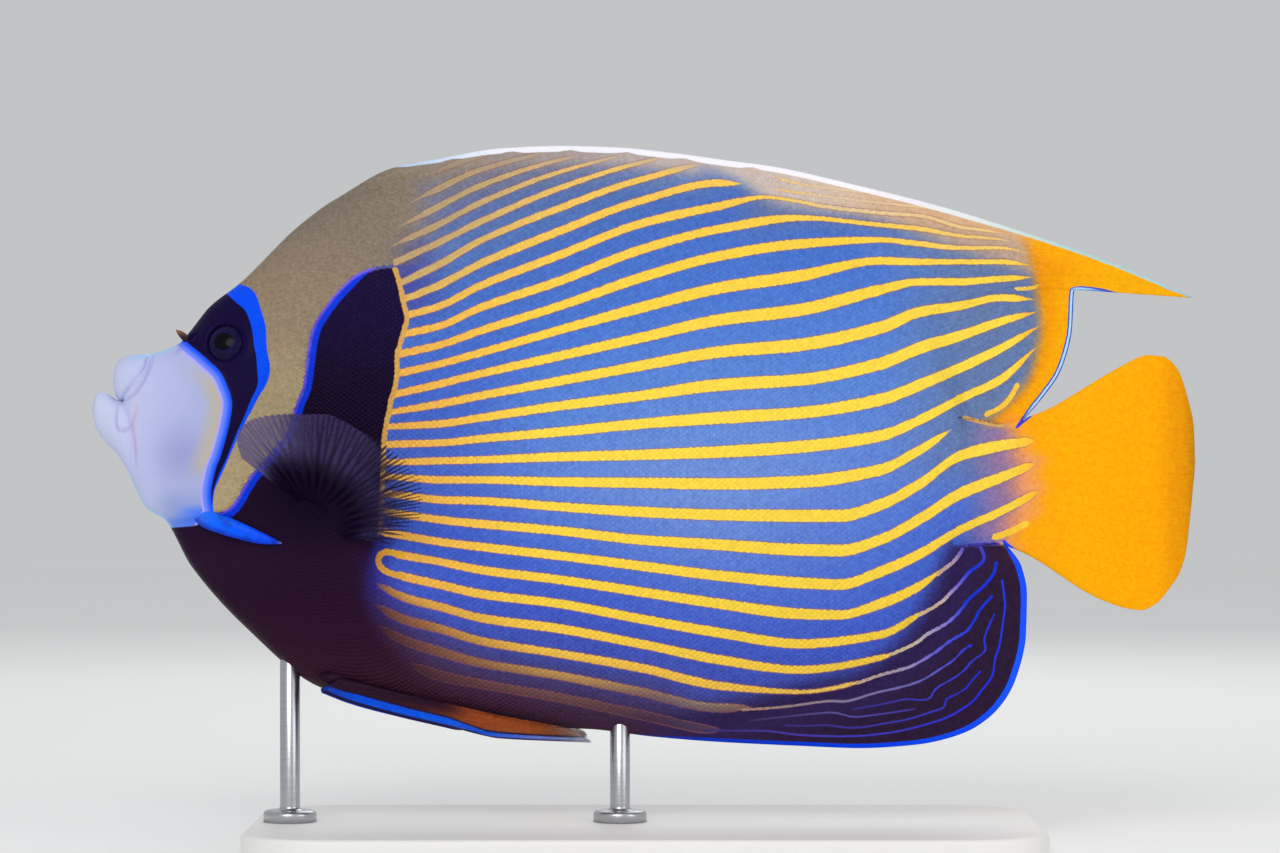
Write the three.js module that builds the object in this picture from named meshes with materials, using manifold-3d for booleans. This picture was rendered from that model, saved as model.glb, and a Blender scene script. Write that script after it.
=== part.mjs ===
// Emperor angelfish, adult and life size, as a still display model on a plain stand.
// Millimetres. Along the fish, x runs back from the lips and z is the height over the body's long axis.
// The left side faces -Y, and the fish is moved onto its stand at the end.

import * as THREE from "three";
import { mergeVertices } from "three/addons/utils/BufferGeometryUtils.js";
import Module from "manifold-3d";

const wasm = await Module();
wasm.setup();

// Driving dimensions
const FISH_LENGTH = 331;
const LIP_X = -0.5;
const AXIS_HEIGHT = 109;
const GAP = 0.3;

const EYE = { x: 40, z: 42.5, radius: 6.2, depth: 4.2, sunk: 2.7, rim: 0.8 };
const MOUTH = { corner: [10.2, 24.2], slit: 0.8, depth: 2 };
const NOSTRIL = { radius: 0.8, rim: 0.45, places: [[25.5, 2.2], [29.5, 3.4]] };
const CREASE = { width: 0.7, depth: 0.6 };

const BASE = { length: 236, depth: 118, height: 8, corner: 24, bevel: 1.2 };
const ROD = { radius: 3, foot: 8, footHeight: 3.5, sunk: 4 };
const ROD_PLACES = { front: 58.5, rear: 157.5 };

// Outline of the body without its fins, as [x, z] pairs
const BACK = [
  [9, 37.4], [12, 38.7], [16.5, 39.2], [19.5, 40], [25, 42.2], [28.5, 46], [34.5, 53.5], [43.5, 60.5], [61.5, 78],
  [73.5, 86.5], [87, 92.5], [100.5, 94.5], [133.5, 94.5], [169.5, 92], [192, 87], [210, 80],
  [226.5, 71.5], [243, 60], [250.5, 51], [255, 40.5], [258.5, 30], [261, 21], [266, 19], [277, 18.5],
];
const BELLY = [
  [9, 6.5], [12, -0.5], [15.5, -7], [21, -10.5],
  [29, -24.5], [45.5, -43], [67, -60.5], [97, -69.5], [139.5, -73], [163.5, -73.5], [181.5, -71],
  [214.5, -62.5], [229.5, -58], [241.5, -49.5], [249, -39], [255, -28.5], [259.5, -19.5],
  [266, -17.7], [277, -17.5],
];
// Height of the widest line, and half the width there
const MIDDLE = [[9, 21], [12, 20], [25, 17], [40, 12], [60, 6], [90, 1], [150, -2], [277, 0.5]];
const HALF_WIDTH = [
  [9, 4.2], [12, 6.6], [20, 9.4], [30, 12.4], [40, 15],
  [54, 17.8], [75, 20.3], [98, 21], [125, 20.6], [152, 19.2], [180, 17], [207, 14.2], [232, 11.3],
  [246, 9.4], [256, 7.8], [264, 6.6], [272, 4.8], [277, 3],
];
// Where the rings of the body lie, closer where its outline turns
const STATIONS = [
  9, 12, 15.5, 20, 25, 29, 34, 40, 46.5, 53.5,
  61, 69, 78, 88, 99, 111, 124, 138, 152, 166, 180, 192, 203, 213, 222, 230, 237, 243, 247.5, 251,
  253.5, 256, 258.5, 261, 264, 268, 272.5, 277,
];
// The lips are rounded bands that run back into the cheeks
const UPPER_LIP = {
  ringHalfPoints: 11,
  stations: [5, 5.5, 6.5, 8.5, 11, 13.5, 15.6],
  top: [[5, 31.5], [5.5, 33.8], [6.5, 35.9], [8.5, 37.7], [11, 38.8], [13.5, 39], [15.6, 38]],
  bottom: [[5, 28.5], [5.5, 26.6], [6.5, 25.2], [9.5, 24], [15.6, 21]],
  halfWidth: [[5, 1.8], [5.5, 3.6], [6.5, 5.2], [8.5, 6.6], [11, 7.6], [13.5, 7.9], [15.6, 6.8]],
};
const LOWER_LIP = {
  ringHalfPoints: 11,
  stations: [-0.5, 0, 1.2, 3.3, 6.5, 10, 13],
  top: [[-0.5, 24.4], [0, 25.7], [1.2, 26.9], [3.3, 26.6], [6.5, 25], [9.5, 23.8], [13, 22]],
  bottom: [[-0.5, 20.5], [0, 18], [1.2, 15.2], [3.3, 12.3], [6.5, 9.2], [10, 4.6], [13, 0]],
  halfWidth: [[-0.5, 1.6], [0, 3.2], [1.2, 4.6], [3.3, 5.7], [6.5, 6.6], [10, 6.9], [13, 5.6]],
};
// The gill opening, which parts the head from the trunk, and the line where the tail stem begins
const GILL_LINE = [
  [90, 108], [87, 93], [81.5, 73.5], [76.5, 52.5], [75.5, 37.5], [77, 21], [74.5, 7.5], [66, -3.5],
  [55.5, -10.5], [45, -14], [35.5, -14], [28.5, -18], [21, -28.5], [17, -38],
];
const STEM_X = 259;

const BODY = { ringHalfPoints: 16, stations: STATIONS, top: BACK, bottom: BELLY, middle: MIDDLE, halfWidth: HALF_WIDTH };

// Guide rays of each fin, as [root x, root z, tip x, tip z, bow], where bow lifts the middle of a ray
const SPINY_DORSAL = {
  rays: 14, rows: [0, 0.4, 0.7, 0.9, 1], rootHalf: 2.1, edgeHalf: 0.55, ridge: 0.4,
  guides: [
    [87, 88, 89, 95], [103, 90, 104, 98], [119, 90.5, 122, 101], [135, 91, 140, 101.7],
    [151, 90.5, 157, 101.2], [167, 88.5, 174, 99.5], [184, 86, 190, 97.3], [199.2, 80, 203.2, 95.5],
  ],
};
const SOFT_DORSAL = {
  rays: 20, rows: [0, 0.18, 0.4, 0.62, 0.82, 1], rootHalf: 2, edgeHalf: 0.28, ridge: 0.28,
  guides: [
    [199.8, 80, 203.8, 95.5, 0], [212, 74, 228, 90, 0.5], [223, 67, 252, 84, 1.5], [232, 61, 275, 77, 3],
    [239, 56, 303, 67.5, 5.5], [244, 51, 330, 56, 9], [247, 46, 294, 58.5, 4], [249.5, 41.5, 293, 46, 2.5],
    [252, 36, 289, 34.5, 1], [255, 29, 282.5, 26, 0.3], [258, 19.6, 271, 19.6, 0],
  ],
};
const ANAL = {
  rays: 22, rows: [0, 0.2, 0.45, 0.75, 1], rootHalf: 2, edgeHalf: 0.28, ridge: 0.28,
  guides: [
    [163.5, -69, 167, -75.5], [178.5, -67, 185, -77], [194, -63, 211, -78.3], [210, -58.5, 229.5, -79],
    [223, -54.5, 246, -78], [233, -49, 261, -74.3], [240, -42.5, 271.5, -66.5], [245, -35.5, 276.5, -57.5],
    [249, -29, 279.3, -45], [252.5, -23.5, 279.5, -33], [255.5, -19.5, 276.3, -24.5], [257.5, -18.6, 271, -19.4],
  ],
};
const CAUDAL = {
  rays: 17, rows: [0, 0.25, 0.5, 0.75, 1], rootHalf: 3, edgeHalf: 0.28, ridge: 0.3,
  guides: [
    [271, 17, 319.5, 39.5], [270.5, 13.5, 326.5, 30], [270, 9, 329.5, 18], [270, 4.5, 330.5, 7],
    [270, 0, 330.5, -2], [270, -4.5, 329, -12], [270, -8.5, 326, -22], [270, -12.5, 320.5, -31.5],
    [270.5, -16, 312.5, -38],
  ],
};
// The pectoral fin is held out from the flank by a reach for each guide ray
const PECTORAL = {
  rays: 17, rows: [0, 0.16, 0.38, 0.68, 1], rootHalf: 1.3, edgeHalf: 0.26, ridge: 0.24,
  guides: [
    [61.5, -5, 47, 7.5], [62.5, -4, 45.5, 14], [63.5, -4.5, 49.5, 19.8], [65, -5, 59.5, 21.4],
    [66, -5.5, 69.5, 21.4], [67, -6.5, 79.5, 16.5], [68.5, -7.5, 89, 11.2], [69.5, -9.5, 96, 5.2],
    [71, -11.5, 99.8, -2.6], [72, -13.5, 98.2, -10], [73, -16, 89, -18.7],
  ],
  reach: [23, 28, 32, 34, 35, 34, 31, 27, 23, 18, 13],
};
// The pelvic fin lies folded along the belly
const PELVIC = {
  rays: 6, rows: [0, 0.1, 0.2, 0.35, 0.55, 0.78, 1], rootHalf: 1.5, edgeHalf: 0.3, ridge: 0.22,
  guides: [[68, -60.5, 149, -77.2], [70, -59.5, 135, -75], [71.5, -58.5, 115.5, -70.5], [74, -57.5, 102, -66]],
  knob: { x: 72, z: -57.5, lift: 1.3, radii: [3.6, 3, 2.4] },
};
// The blue spine at the corner of the cheek, as [x, z, half height, half thickness]
const CHEEK_SPINE = [
  [31.5, -8.5, 2, 1.3], [35.5, -10, 2.9, 1.6], [40, -11.3, 2.8, 1.6], [45, -13.2, 2.5, 1.5],
  [50, -15, 2, 1.2], [54.5, -16.3, 1.1, 0.8], [57.5, -17, 0.3, 0.3],
];

const COLOUR = {
  head: 0x1d1428, trunk: 0x4a6cc4, eye: 0x0b0b16, spine: 0x0a60f0, dorsal: 0xc9b59a, softDorsal: 0xf2a000,
  anal: 0x2a1536, caudal: 0xf8ac08, pectoral: 0x251a36, pelvic: 0xa04a28, stand: 0xe2e0da, rod: 0xb9bcc0,
};

// Smooth height of a list of [x, value] pairs at x, with no overshoot between them
function along(list, x) {
  const last = list.length - 1;
  if (x <= list[0][0]) return list[0][1];
  if (x >= list[last][0]) return list[last][1];
  let i = 0;
  while (x > list[i + 1][0]) i += 1;
  const slope = (k) => (list[k + 1][1] - list[k][1]) / (list[k + 1][0] - list[k][0]);
  const tangent = (k) => {
    if (k === 0) return slope(0);
    if (k === last) return slope(last - 1);
    const before = slope(k - 1);
    const after = slope(k);
    return before * after <= 0 ? 0 : (2 * before * after) / (before + after);
  };
  const width = list[i + 1][0] - list[i][0];
  const t = (x - list[i][0]) / width;
  const a = 2 * t ** 3 - 3 * t ** 2 + 1;
  const b = t ** 3 - 2 * t ** 2 + t;
  const c = 3 * t ** 2 - 2 * t ** 3;
  const d = t ** 3 - t ** 2;
  return a * list[i][1] + b * width * tangent(i) + c * list[i + 1][1] + d * width * tangent(i + 1);
}

// The height of a form's widest line at x
function middleOf(form, x) {
  return form.middle ? along(form.middle, x) : (along(form.top, x) + along(form.bottom, x)) / 2;
}

// Half a form's width at x and height z, which falls to nothing at its top and bottom
function halfAt(form, x, z, grow = 0) {
  const middle = middleOf(form, x);
  const edge = z > middle ? grownEdge(form.top, x, grow) : grownEdge(form.bottom, x, -grow);
  const s = Math.min(1, Math.abs((z - middle) / (edge - middle)));
  const fullness = THREE.MathUtils.lerp(0.5, 0.64, THREE.MathUtils.smoothstep(x, 5, 80));
  return (along(form.halfWidth, x) + grow) * (1 - s ** 2.2) ** fullness;
}

function bodyHalf(x, z) {
  return halfAt(BODY, x, z);
}

// An outline moved outwards by grow, further where it is steep so that the gap stays even
function grownEdge(outline, x, grow) {
  const step = 0.4;
  const slope = (along(outline, x + step) - along(outline, x - step)) / (2 * step);
  return along(outline, x) + grow * Math.min(4, Math.hypot(1, slope));
}

// A point on the left (-1) or right (+1) flank
function onFlank(x, z, side, lift = 0) {
  return new THREE.Vector3(x, side * (bodyHalf(x, z) + lift), z);
}

// The way the left or right flank faces at x, z
function flankNormal(x, z, side) {
  const step = 0.5;
  const byX = (bodyHalf(x + step, z) - bodyHalf(x - step, z)) / (2 * step);
  const byZ = (bodyHalf(x, z + step) - bodyHalf(x, z - step)) / (2 * step);
  return new THREE.Vector3(-byX, side, -byZ).normalize();
}

// A geometry from points and triangles, turned so that its faces point out
function closedSurface(points, triangles) {
  const volume = triangles.reduce((sum, [a, b, c]) => {
    return sum + points[a].dot(points[b].clone().cross(points[c]));
  }, 0);
  const faces = volume > 0 ? triangles : triangles.map(([a, b, c]) => [a, c, b]);
  const geometry = new THREE.BufferGeometry().setFromPoints(points);
  geometry.setIndex(faces.flat());
  return geometry;
}

// A skin over closed rings of points, with a fan over each end
function loft(rings) {
  const size = rings[0].length;
  const points = rings.flat();
  const triangles = [];
  for (let i = 0; i + 1 < rings.length; i += 1) {
    for (let j = 0; j < size; j += 1) {
      const next = (j + 1) % size;
      const [a, b, c, d] = [i * size + j, i * size + next, (i + 1) * size + next, (i + 1) * size + j];
      triangles.push([a, b, c], [a, c, d]);
    }
  }
  for (const [ring, turned] of [[0, true], [rings.length - 1, false]]) {
    const centre = rings[ring].reduce((sum, p) => sum.add(p), new THREE.Vector3()).divideScalar(size);
    const hub = points.push(centre) - 1;
    for (let j = 0; j < size; j += 1) {
      const a = ring * size + j;
      const b = ring * size + ((j + 1) % size);
      triangles.push(turned ? [hub, b, a] : [hub, a, b]);
    }
  }
  return closedSurface(points, triangles);
}

// Solids for cutting and joining
function solidOf(geometry) {
  const bare = geometry.clone();
  bare.deleteAttribute("normal");
  bare.deleteAttribute("uv");
  const merged = mergeVertices(bare, 1e-4);
  const triVerts = new Uint32Array(merged.index.array);
  const vertProperties = merged.attributes.position.array;
  return new wasm.Manifold(new wasm.Mesh({ numProp: 3, vertProperties, triVerts }));
}

// The largest closed surface of a solid, as a geometry
function geometryOf(solid) {
  const pieces = solid.decompose().sort((a, b) => b.volume() - a.volume());
  const mesh = pieces[0].getMesh();
  const geometry = new THREE.BufferGeometry();
  geometry.setAttribute("position", new THREE.BufferAttribute(mesh.vertProperties, 3));
  geometry.setIndex(Array.from(mesh.triVerts));
  geometry.computeVertexNormals();
  return geometry;
}

// A rounded form lofted through rings at its stations
function lofted(form, grow = 0) {
  const last = form.stations.length - 1;
  const rings = form.stations.map((station, k) => {
    const end = k === 0 ? -1 : k === last ? 1 : 0;
    const middle = middleOf(form, station);
    const up = grownEdge(form.top, station, grow) - middle;
    const down = middle - grownEdge(form.bottom, station, -grow);
    return Array.from({ length: 2 * form.ringHalfPoints }, (_, j) => {
      const height = -Math.cos((Math.PI * j) / form.ringHalfPoints);
      const z = middle + height * (height > 0 ? up : down);
      const isPole = j % form.ringHalfPoints === 0;
      const side = isPole ? 0 : j < form.ringHalfPoints ? -1 : 1;
      return new THREE.Vector3(station + end * grow, side * halfAt(form, station, z, grow), z);
    });
  });
  return solidOf(loft(rings));
}

// A slab through the whole width of the fish, from an outline of [x, z] points
function sideSlab(outline, halfDepth = 60) {
  const shape = new THREE.Shape(outline.map(([x, z]) => new THREE.Vector2(x, z)));
  const slab = new THREE.ExtrudeGeometry(shape, { depth: 2 * halfDepth, bevelEnabled: false });
  return solidOf(slab.rotateX(Math.PI / 2).translate(0, halfDepth, 0));
}

// A smooth line through [x, z] points, moved sideways by offset
function smoothLine(line, divisions, offset = 0) {
  const curve = new THREE.SplineCurve(line.map(([x, z]) => new THREE.Vector2(x, z)));
  return Array.from({ length: divisions + 1 }, (_, i) => {
    const point = curve.getPoint(i / divisions);
    const heading = curve.getTangent(i / divisions);
    return [point.x + offset * heading.y, point.y - offset * heading.x];
  });
}

// A thin wall along a line, which cuts a groove of the given depth into both flanks
function groove(line, width, depth) {
  const outline = [...smoothLine(line, 6, width / 2), ...smoothLine(line, 6, -width / 2).reverse()];
  const kept = [BODY, UPPER_LIP, LOWER_LIP].map((form) => lofted(form, -depth));
  return kept.reduce((wall, form) => wall.subtract(form), sideSlab(outline));
}

function ellipsoid(centre, radii, normal) {
  const detail = 16;
  const ball = new THREE.SphereGeometry(1, detail, Math.round(detail * 0.6));
  ball.rotateX(Math.PI / 2).scale(...radii);
  const turn = new THREE.Quaternion().setFromUnitVectors(new THREE.Vector3(0, 0, 1), normal);
  return ball.applyQuaternion(turn).translate(centre.x, centre.y, centre.z);
}

// The eyeball, seated in the head and showing as a low dome
function eyeball(side, grow = 0) {
  const normal = flankNormal(EYE.x, EYE.z, side);
  const centre = onFlank(EYE.x, EYE.z, side).addScaledVector(normal, -EYE.sunk);
  const radii = [EYE.radius + grow, EYE.radius + grow, EYE.depth + grow];
  return solidOf(ellipsoid(centre, radii, normal));
}

// The low ring of skin round the eye
function orbitRim(side) {
  const normal = flankNormal(EYE.x, EYE.z, side);
  const ring = new THREE.TorusGeometry(EYE.radius + 0.3, EYE.rim, 5, 18);
  const turn = new THREE.Quaternion().setFromUnitVectors(new THREE.Vector3(0, 0, 1), normal);
  const centre = onFlank(EYE.x, EYE.z, side).addScaledVector(normal, -0.3);
  return solidOf(ring.applyQuaternion(turn).translate(centre.x, centre.y, centre.z));
}

function nostrilParts(side) {
  return NOSTRIL.places.map(([x, below]) => {
    const z = along(BACK, x) - below;
    const normal = flankNormal(x, z, side);
    const turn = new THREE.Quaternion().setFromUnitVectors(new THREE.Vector3(0, 0, 1), normal);
    const place = (shape) => {
      const at = onFlank(x, z, side);
      return solidOf(shape.applyQuaternion(turn).translate(at.x, at.y, at.z));
    };
    return {
      rim: place(new THREE.TorusGeometry(NOSTRIL.radius + 0.2, NOSTRIL.rim, 4, 8)),
      pit: place(new THREE.CylinderGeometry(NOSTRIL.radius, NOSTRIL.radius, 3, 6).rotateX(Math.PI / 2)),
    };
  });
}

function headSolid(body) {
  const front = sideSlab([...smoothLine(GILL_LINE, 26, GAP / 2), [-20, -38], [-20, 108]]);
  let head = body.intersect(front).add(lofted(UPPER_LIP)).add(lofted(LOWER_LIP));
  head = head.subtract(groove([[5, 25.8], [7.5, 25.1], MOUTH.corner], MOUTH.slit, MOUTH.depth));
  const lipCrease = [MOUTH.corner, [12, 26.6], [14.4, 31], [15.8, 35], [17.2, 41]];
  const cheekFold = [[14.2, 24.5], [12.4, 21], [11.2, 16.5], [12.2, 9.5]];
  for (const fold of [lipCrease, cheekFold]) {
    head = head.subtract(groove(fold, CREASE.width, CREASE.depth));
  }
  for (const side of [-1, 1]) {
    head = head.add(orbitRim(side)).subtract(eyeball(side, GAP));
    for (const { rim, pit } of nostrilParts(side)) {
      head = head.add(rim).subtract(pit);
    }
  }
  return head;
}

function trunkSolid(body) {
  const behindGill = sideSlab([...smoothLine(GILL_LINE, 26, -GAP / 2), [17, -90], [STEM_X, -90], [STEM_X, 108]]);
  const beforeStem = sideSlab([[-20, -90], [STEM_X - GAP / 2, -90], [STEM_X - GAP / 2, 110], [-20, 110]]);
  return body.intersect(behindGill.intersect(beforeStem));
}

function tailStemSolid(body) {
  return body.intersect(sideSlab([[STEM_X + GAP / 2, -90], [300, -90], [300, 110], [STEM_X + GAP / 2, 110]]));
}

// A guide value at t along the fin, where t counts the guides
function guided(guides, column, t) {
  return along(guides.map((guide, i) => [i, guide[column] ?? 0]), t);
}

// Half the thickness of a fin between its rays, from root (0) to edge (1)
function plateHalf(fin, r) {
  return THREE.MathUtils.lerp(fin.rootHalf, fin.edgeHalf, r ** 0.6);
}

// A thin plate with its rays raised on both faces, which are split into triangles alike
function finSolid(fin, sideways = () => 0) {
  const columns = 2 * fin.rays + 1;
  const last = fin.guides.length - 1;
  const centreAt = (t, r) => {
    const [rootX, rootZ, tipX, tipZ, bow] = [0, 1, 2, 3, 4].map((k) => guided(fin.guides, k, t));
    const x = THREE.MathUtils.lerp(rootX, tipX, r);
    const z = THREE.MathUtils.lerp(rootZ, tipZ, r) + 4 * r * (1 - r) * bow;
    return new THREE.Vector3(x, sideways(t, r, x, z), z);
  };
  const faces = [[], []];
  for (let i = 0; i < columns; i += 1) {
    const t = (i * last) / (columns - 1);
    for (const r of fin.rows) {
      const centre = centreAt(t, r);
      const alongEdge = centreAt(Math.min(last, t + 0.1), r).sub(centreAt(Math.max(0, t - 0.1), r));
      const alongRay = centreAt(t, Math.min(1, r + 0.05)).sub(centreAt(t, Math.max(0, r - 0.05)));
      const normal = alongEdge.cross(alongRay).normalize();
      const crest = i % 2 === 1 ? fin.ridge * (1 - 0.5 * r) : 0;
      const half = plateHalf(fin, r) + crest;
      faces[0].push(centre.clone().addScaledVector(normal, half));
      faces[1].push(centre.clone().addScaledVector(normal, -half));
    }
  }
  const rows = fin.rows.length;
  const total = faces[0].length;
  const triangles = [];
  const quad = (a, b, c, d) => triangles.push([a, b, c], [a, c, d]);
  for (let i = 0; i + 1 < columns; i += 1) {
    for (let j = 0; j + 1 < rows; j += 1) {
      const [a, b, c, d] = [i * rows + j, (i + 1) * rows + j, (i + 1) * rows + j + 1, i * rows + j + 1];
      quad(a, b, c, d);
      triangles.push([total + a, total + c, total + b], [total + a, total + d, total + c]);
    }
  }
  for (let i = 0; i + 1 < columns; i += 1) {
    for (const [j, turned] of [[0, false], [rows - 1, true]]) {
      const [a, b] = turned ? [(i + 1) * rows + j, i * rows + j] : [i * rows + j, (i + 1) * rows + j];
      quad(b, a, total + a, total + b);
    }
  }
  for (let j = 0; j + 1 < rows; j += 1) {
    for (const [i, turned] of [[0, true], [columns - 1, false]]) {
      const [a, b] = turned ? [i * rows + j + 1, i * rows + j] : [i * rows + j, i * rows + j + 1];
      quad(b, a, total + a, total + b);
    }
  }
  return solidOf(closedSurface([...faces[0], ...faces[1]], triangles));
}

function pectoralSolid(side) {
  const sunk = 2;
  const reachAt = (t) => along(PECTORAL.reach.map((reach, i) => [i, reach]), t);
  return finSolid(PECTORAL, (t, r) => {
    const rootX = guided(PECTORAL.guides, 0, t);
    const rootZ = guided(PECTORAL.guides, 1, t);
    const root = bodyHalf(rootX, rootZ) - sunk;
    const spread = 0.6 * r + 0.4 * Math.sin((r * Math.PI) / 2);
    return side * (root + (reachAt(t) + sunk) * spread);
  });
}

// The folded blade lies just off the belly, and a low knob joins it to its root
function pelvicSolid(side) {
  const least = 2.6;
  const above = 2;
  const blade = finSolid(PELVIC, (t, r, x, z) => {
    const half = plateHalf(PELVIC, r) + PELVIC.ridge;
    return side * Math.max(least, bodyHalf(x, z + above) + half + 1.5 * GAP);
  });
  const { x, z, radii, lift } = PELVIC.knob;
  const knob = ellipsoid(onFlank(x, z, side, lift), radii, flankNormal(x, z, side));
  return blade.add(solidOf(knob));
}

function cheekSpineSolid(side) {
  const ringPoints = 10;
  const rings = CHEEK_SPINE.map(([x, z, high, thick], k) => {
    const lift = k === 0 ? -1 : 0.35 + thick * 0.5;
    const normal = flankNormal(x, z, side);
    const up = new THREE.Vector3(0.35, 0, 1).projectOnPlane(normal).normalize();
    return Array.from({ length: ringPoints }, (_, j) => {
      const turn = (2 * Math.PI * j) / ringPoints;
      const point = onFlank(x, z, side).addScaledVector(normal, lift);
      return point.addScaledVector(up, high * Math.cos(turn)).addScaledVector(normal, thick * Math.sin(turn));
    });
  });
  return solidOf(loft(rings));
}

// A plain rod with a round foot, from the base up into the belly at x
function rodSolid(x) {
  const floor = BASE.height + GAP - AXIS_HEIGHT;
  const top = along(BELLY, x) + ROD.sunk;
  const height = top - floor;
  const profile = [
    [0, 0], [ROD.foot, 0], [ROD.foot, ROD.footHeight - 1.5], [ROD.foot - 1.5, ROD.footHeight],
    [ROD.radius, ROD.footHeight], [ROD.radius, height], [0, height],
  ];
  const rod = new THREE.LatheGeometry(profile.map(([r, h]) => new THREE.Vector2(r, h)), 20);
  return solidOf(rod.rotateX(Math.PI / 2).translate(x, 0, floor));
}

function standBase() {
  const [halfLength, halfDepth, corner] = [BASE.length / 2, BASE.depth / 2, BASE.corner];
  const inset = BASE.bevel;
  const shape = new THREE.Shape();
  const corners = [[1, 1, 0], [-1, 1, 90], [-1, -1, 180], [1, -1, 270]];
  for (const [sx, sy, degrees] of corners) {
    const start = THREE.MathUtils.degToRad(degrees);
    const centre = [sx * (halfLength - corner), sy * (halfDepth - corner)];
    shape.absarc(...centre, corner - inset, start, start + Math.PI / 2, false);
  }
  const options = {
    depth: BASE.height - 2 * inset, bevelSize: inset, bevelThickness: inset, bevelSegments: 1, curveSegments: 6,
  };
  return new THREE.ExtrudeGeometry(shape, options).translate(0, 0, inset);
}

function material(color, roughness, metalness = 0) {
  return new THREE.MeshStandardMaterial({ color, roughness, metalness });
}

const model = new THREE.Group();
const fish = new THREE.Group();
fish.position.set(-FISH_LENGTH / 2 - LIP_X, 0, AXIS_HEIGHT);
model.add(fish);

function addPart(parent, name, geometry, look) {
  const mesh = new THREE.Mesh(geometry, look);
  mesh.name = name;
  parent.add(mesh);
}

const body = lofted(BODY);
const bodyWithGap = lofted(BODY, GAP);

addPart(fish, "head", geometryOf(headSolid(body)), material(COLOUR.head, 0.45));
addPart(fish, "trunk", geometryOf(trunkSolid(body)), material(COLOUR.trunk, 0.4));
addPart(fish, "tail_stem", geometryOf(tailStemSolid(body)), material(COLOUR.trunk, 0.4));

const finLooks = [
  ["dorsal_fin_spiny", SPINY_DORSAL, COLOUR.dorsal],
  ["dorsal_fin_soft", SOFT_DORSAL, COLOUR.softDorsal],
  ["anal_fin", ANAL, COLOUR.anal],
  ["caudal_fin", CAUDAL, COLOUR.caudal],
];
for (const [name, fin, color] of finLooks) {
  addPart(fish, name, geometryOf(finSolid(fin).subtract(bodyWithGap)), material(color, 0.45));
}

for (const [word, side] of [["left", -1], ["right", 1]]) {
  const spine = cheekSpineSolid(side);
  const pectoral = pectoralSolid(side).subtract(bodyWithGap);
  const pelvic = pelvicSolid(side).subtract(bodyWithGap);
  addPart(fish, `eye_${word}`, geometryOf(eyeball(side)), material(COLOUR.eye, 0.12));
  addPart(fish, `cheek_spine_${word}`, geometryOf(spine.subtract(bodyWithGap)), material(COLOUR.spine, 0.3));
  addPart(fish, `pectoral_fin_${word}`, geometryOf(pectoral), material(COLOUR.pectoral, 0.45));
  addPart(fish, `pelvic_fin_${word}`, geometryOf(pelvic), material(COLOUR.pelvic, 0.45));
}

for (const [word, x] of Object.entries(ROD_PLACES)) {
  const rod = rodSolid(x).subtract(bodyWithGap);
  addPart(fish, `stand_rod_${word}`, geometryOf(rod), material(COLOUR.rod, 0.3, 1));
}
addPart(model, "stand_base", standBase(), material(COLOUR.stand, 0.5));

export default model;
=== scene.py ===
"""Looks of the emperor angelfish: one skin with its scales, the fins, eyes, cheek spines and stand.

The fish is worked out in millimetres, x back from the lips, y across and z above the body's long
axis, its left side facing -y. row_frame() turns that into the row's own frame, in metres.
"""
import math

import bpy
import numpy as np
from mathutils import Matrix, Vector
from mathutils.bvhtree import BVHTree


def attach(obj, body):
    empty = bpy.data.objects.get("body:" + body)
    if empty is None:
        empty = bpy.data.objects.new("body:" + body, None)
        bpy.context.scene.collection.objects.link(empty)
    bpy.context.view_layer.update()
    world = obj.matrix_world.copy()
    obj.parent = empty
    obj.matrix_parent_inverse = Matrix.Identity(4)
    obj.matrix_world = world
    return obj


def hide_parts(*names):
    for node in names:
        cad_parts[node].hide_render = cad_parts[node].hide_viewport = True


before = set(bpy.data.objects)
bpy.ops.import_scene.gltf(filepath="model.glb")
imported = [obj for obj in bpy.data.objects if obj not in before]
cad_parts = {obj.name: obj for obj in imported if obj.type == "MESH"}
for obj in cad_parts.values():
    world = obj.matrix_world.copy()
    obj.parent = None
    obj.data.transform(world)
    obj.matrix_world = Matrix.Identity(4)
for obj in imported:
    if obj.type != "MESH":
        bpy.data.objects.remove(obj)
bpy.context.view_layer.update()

# Where the fish stands in the row's frame, and where the camera looks at it from, in fish millimetres
FISH_ORIGIN = (-165.0, 0.0, 109.0)
CAMERA_DISTANCE = 1300.0
VIEW_CENTRE = (163.5, 17.5)
VIEW_WIDTH = 384.0
SENSOR_WIDTH = 36
# Where the lights point and how far the floor reaches, in the row's metres
LIT_PLACE, FLOOR_REACH = (0, 0, 0.12), 4.0
# How far back the head's relief and the scales reach, and a distance beyond the blur of every marking
HEAD_END, SCALES_END, FAR = 95, 290, 9.0

# Outline of the body without its fins, as (x, z) pairs
BACK = [
    (9, 37.4), (12, 38.7), (16.5, 39.2), (19.5, 40), (25, 42.2), (28.5, 46), (34.5, 53.5), (43.5, 60.5),
    (61.5, 78), (73.5, 86.5), (87, 92.5), (100.5, 94.5), (133.5, 94.5), (169.5, 92), (192, 87), (210, 80),
    (226.5, 71.5), (243, 60), (250.5, 51), (255, 40.5), (258.5, 30), (261, 21), (266, 19), (277, 18.5),
    (300, 18),
]
BELLY = [
    (9, 6.5), (12, -0.5), (15.5, -7), (21, -10.5), (29, -24.5), (45.5, -43), (67, -60.5), (97, -69.5),
    (139.5, -73), (163.5, -73.5), (181.5, -71), (214.5, -62.5), (229.5, -58), (241.5, -49.5), (249, -39),
    (255, -28.5), (259.5, -19.5), (266, -17.7), (277, -17.5), (300, -17),
]
MIDDLE = [(9, 21), (12, 20), (25, 17), (40, 12), (60, 6), (90, 1), (150, -2), (277, 0.5)]
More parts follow.
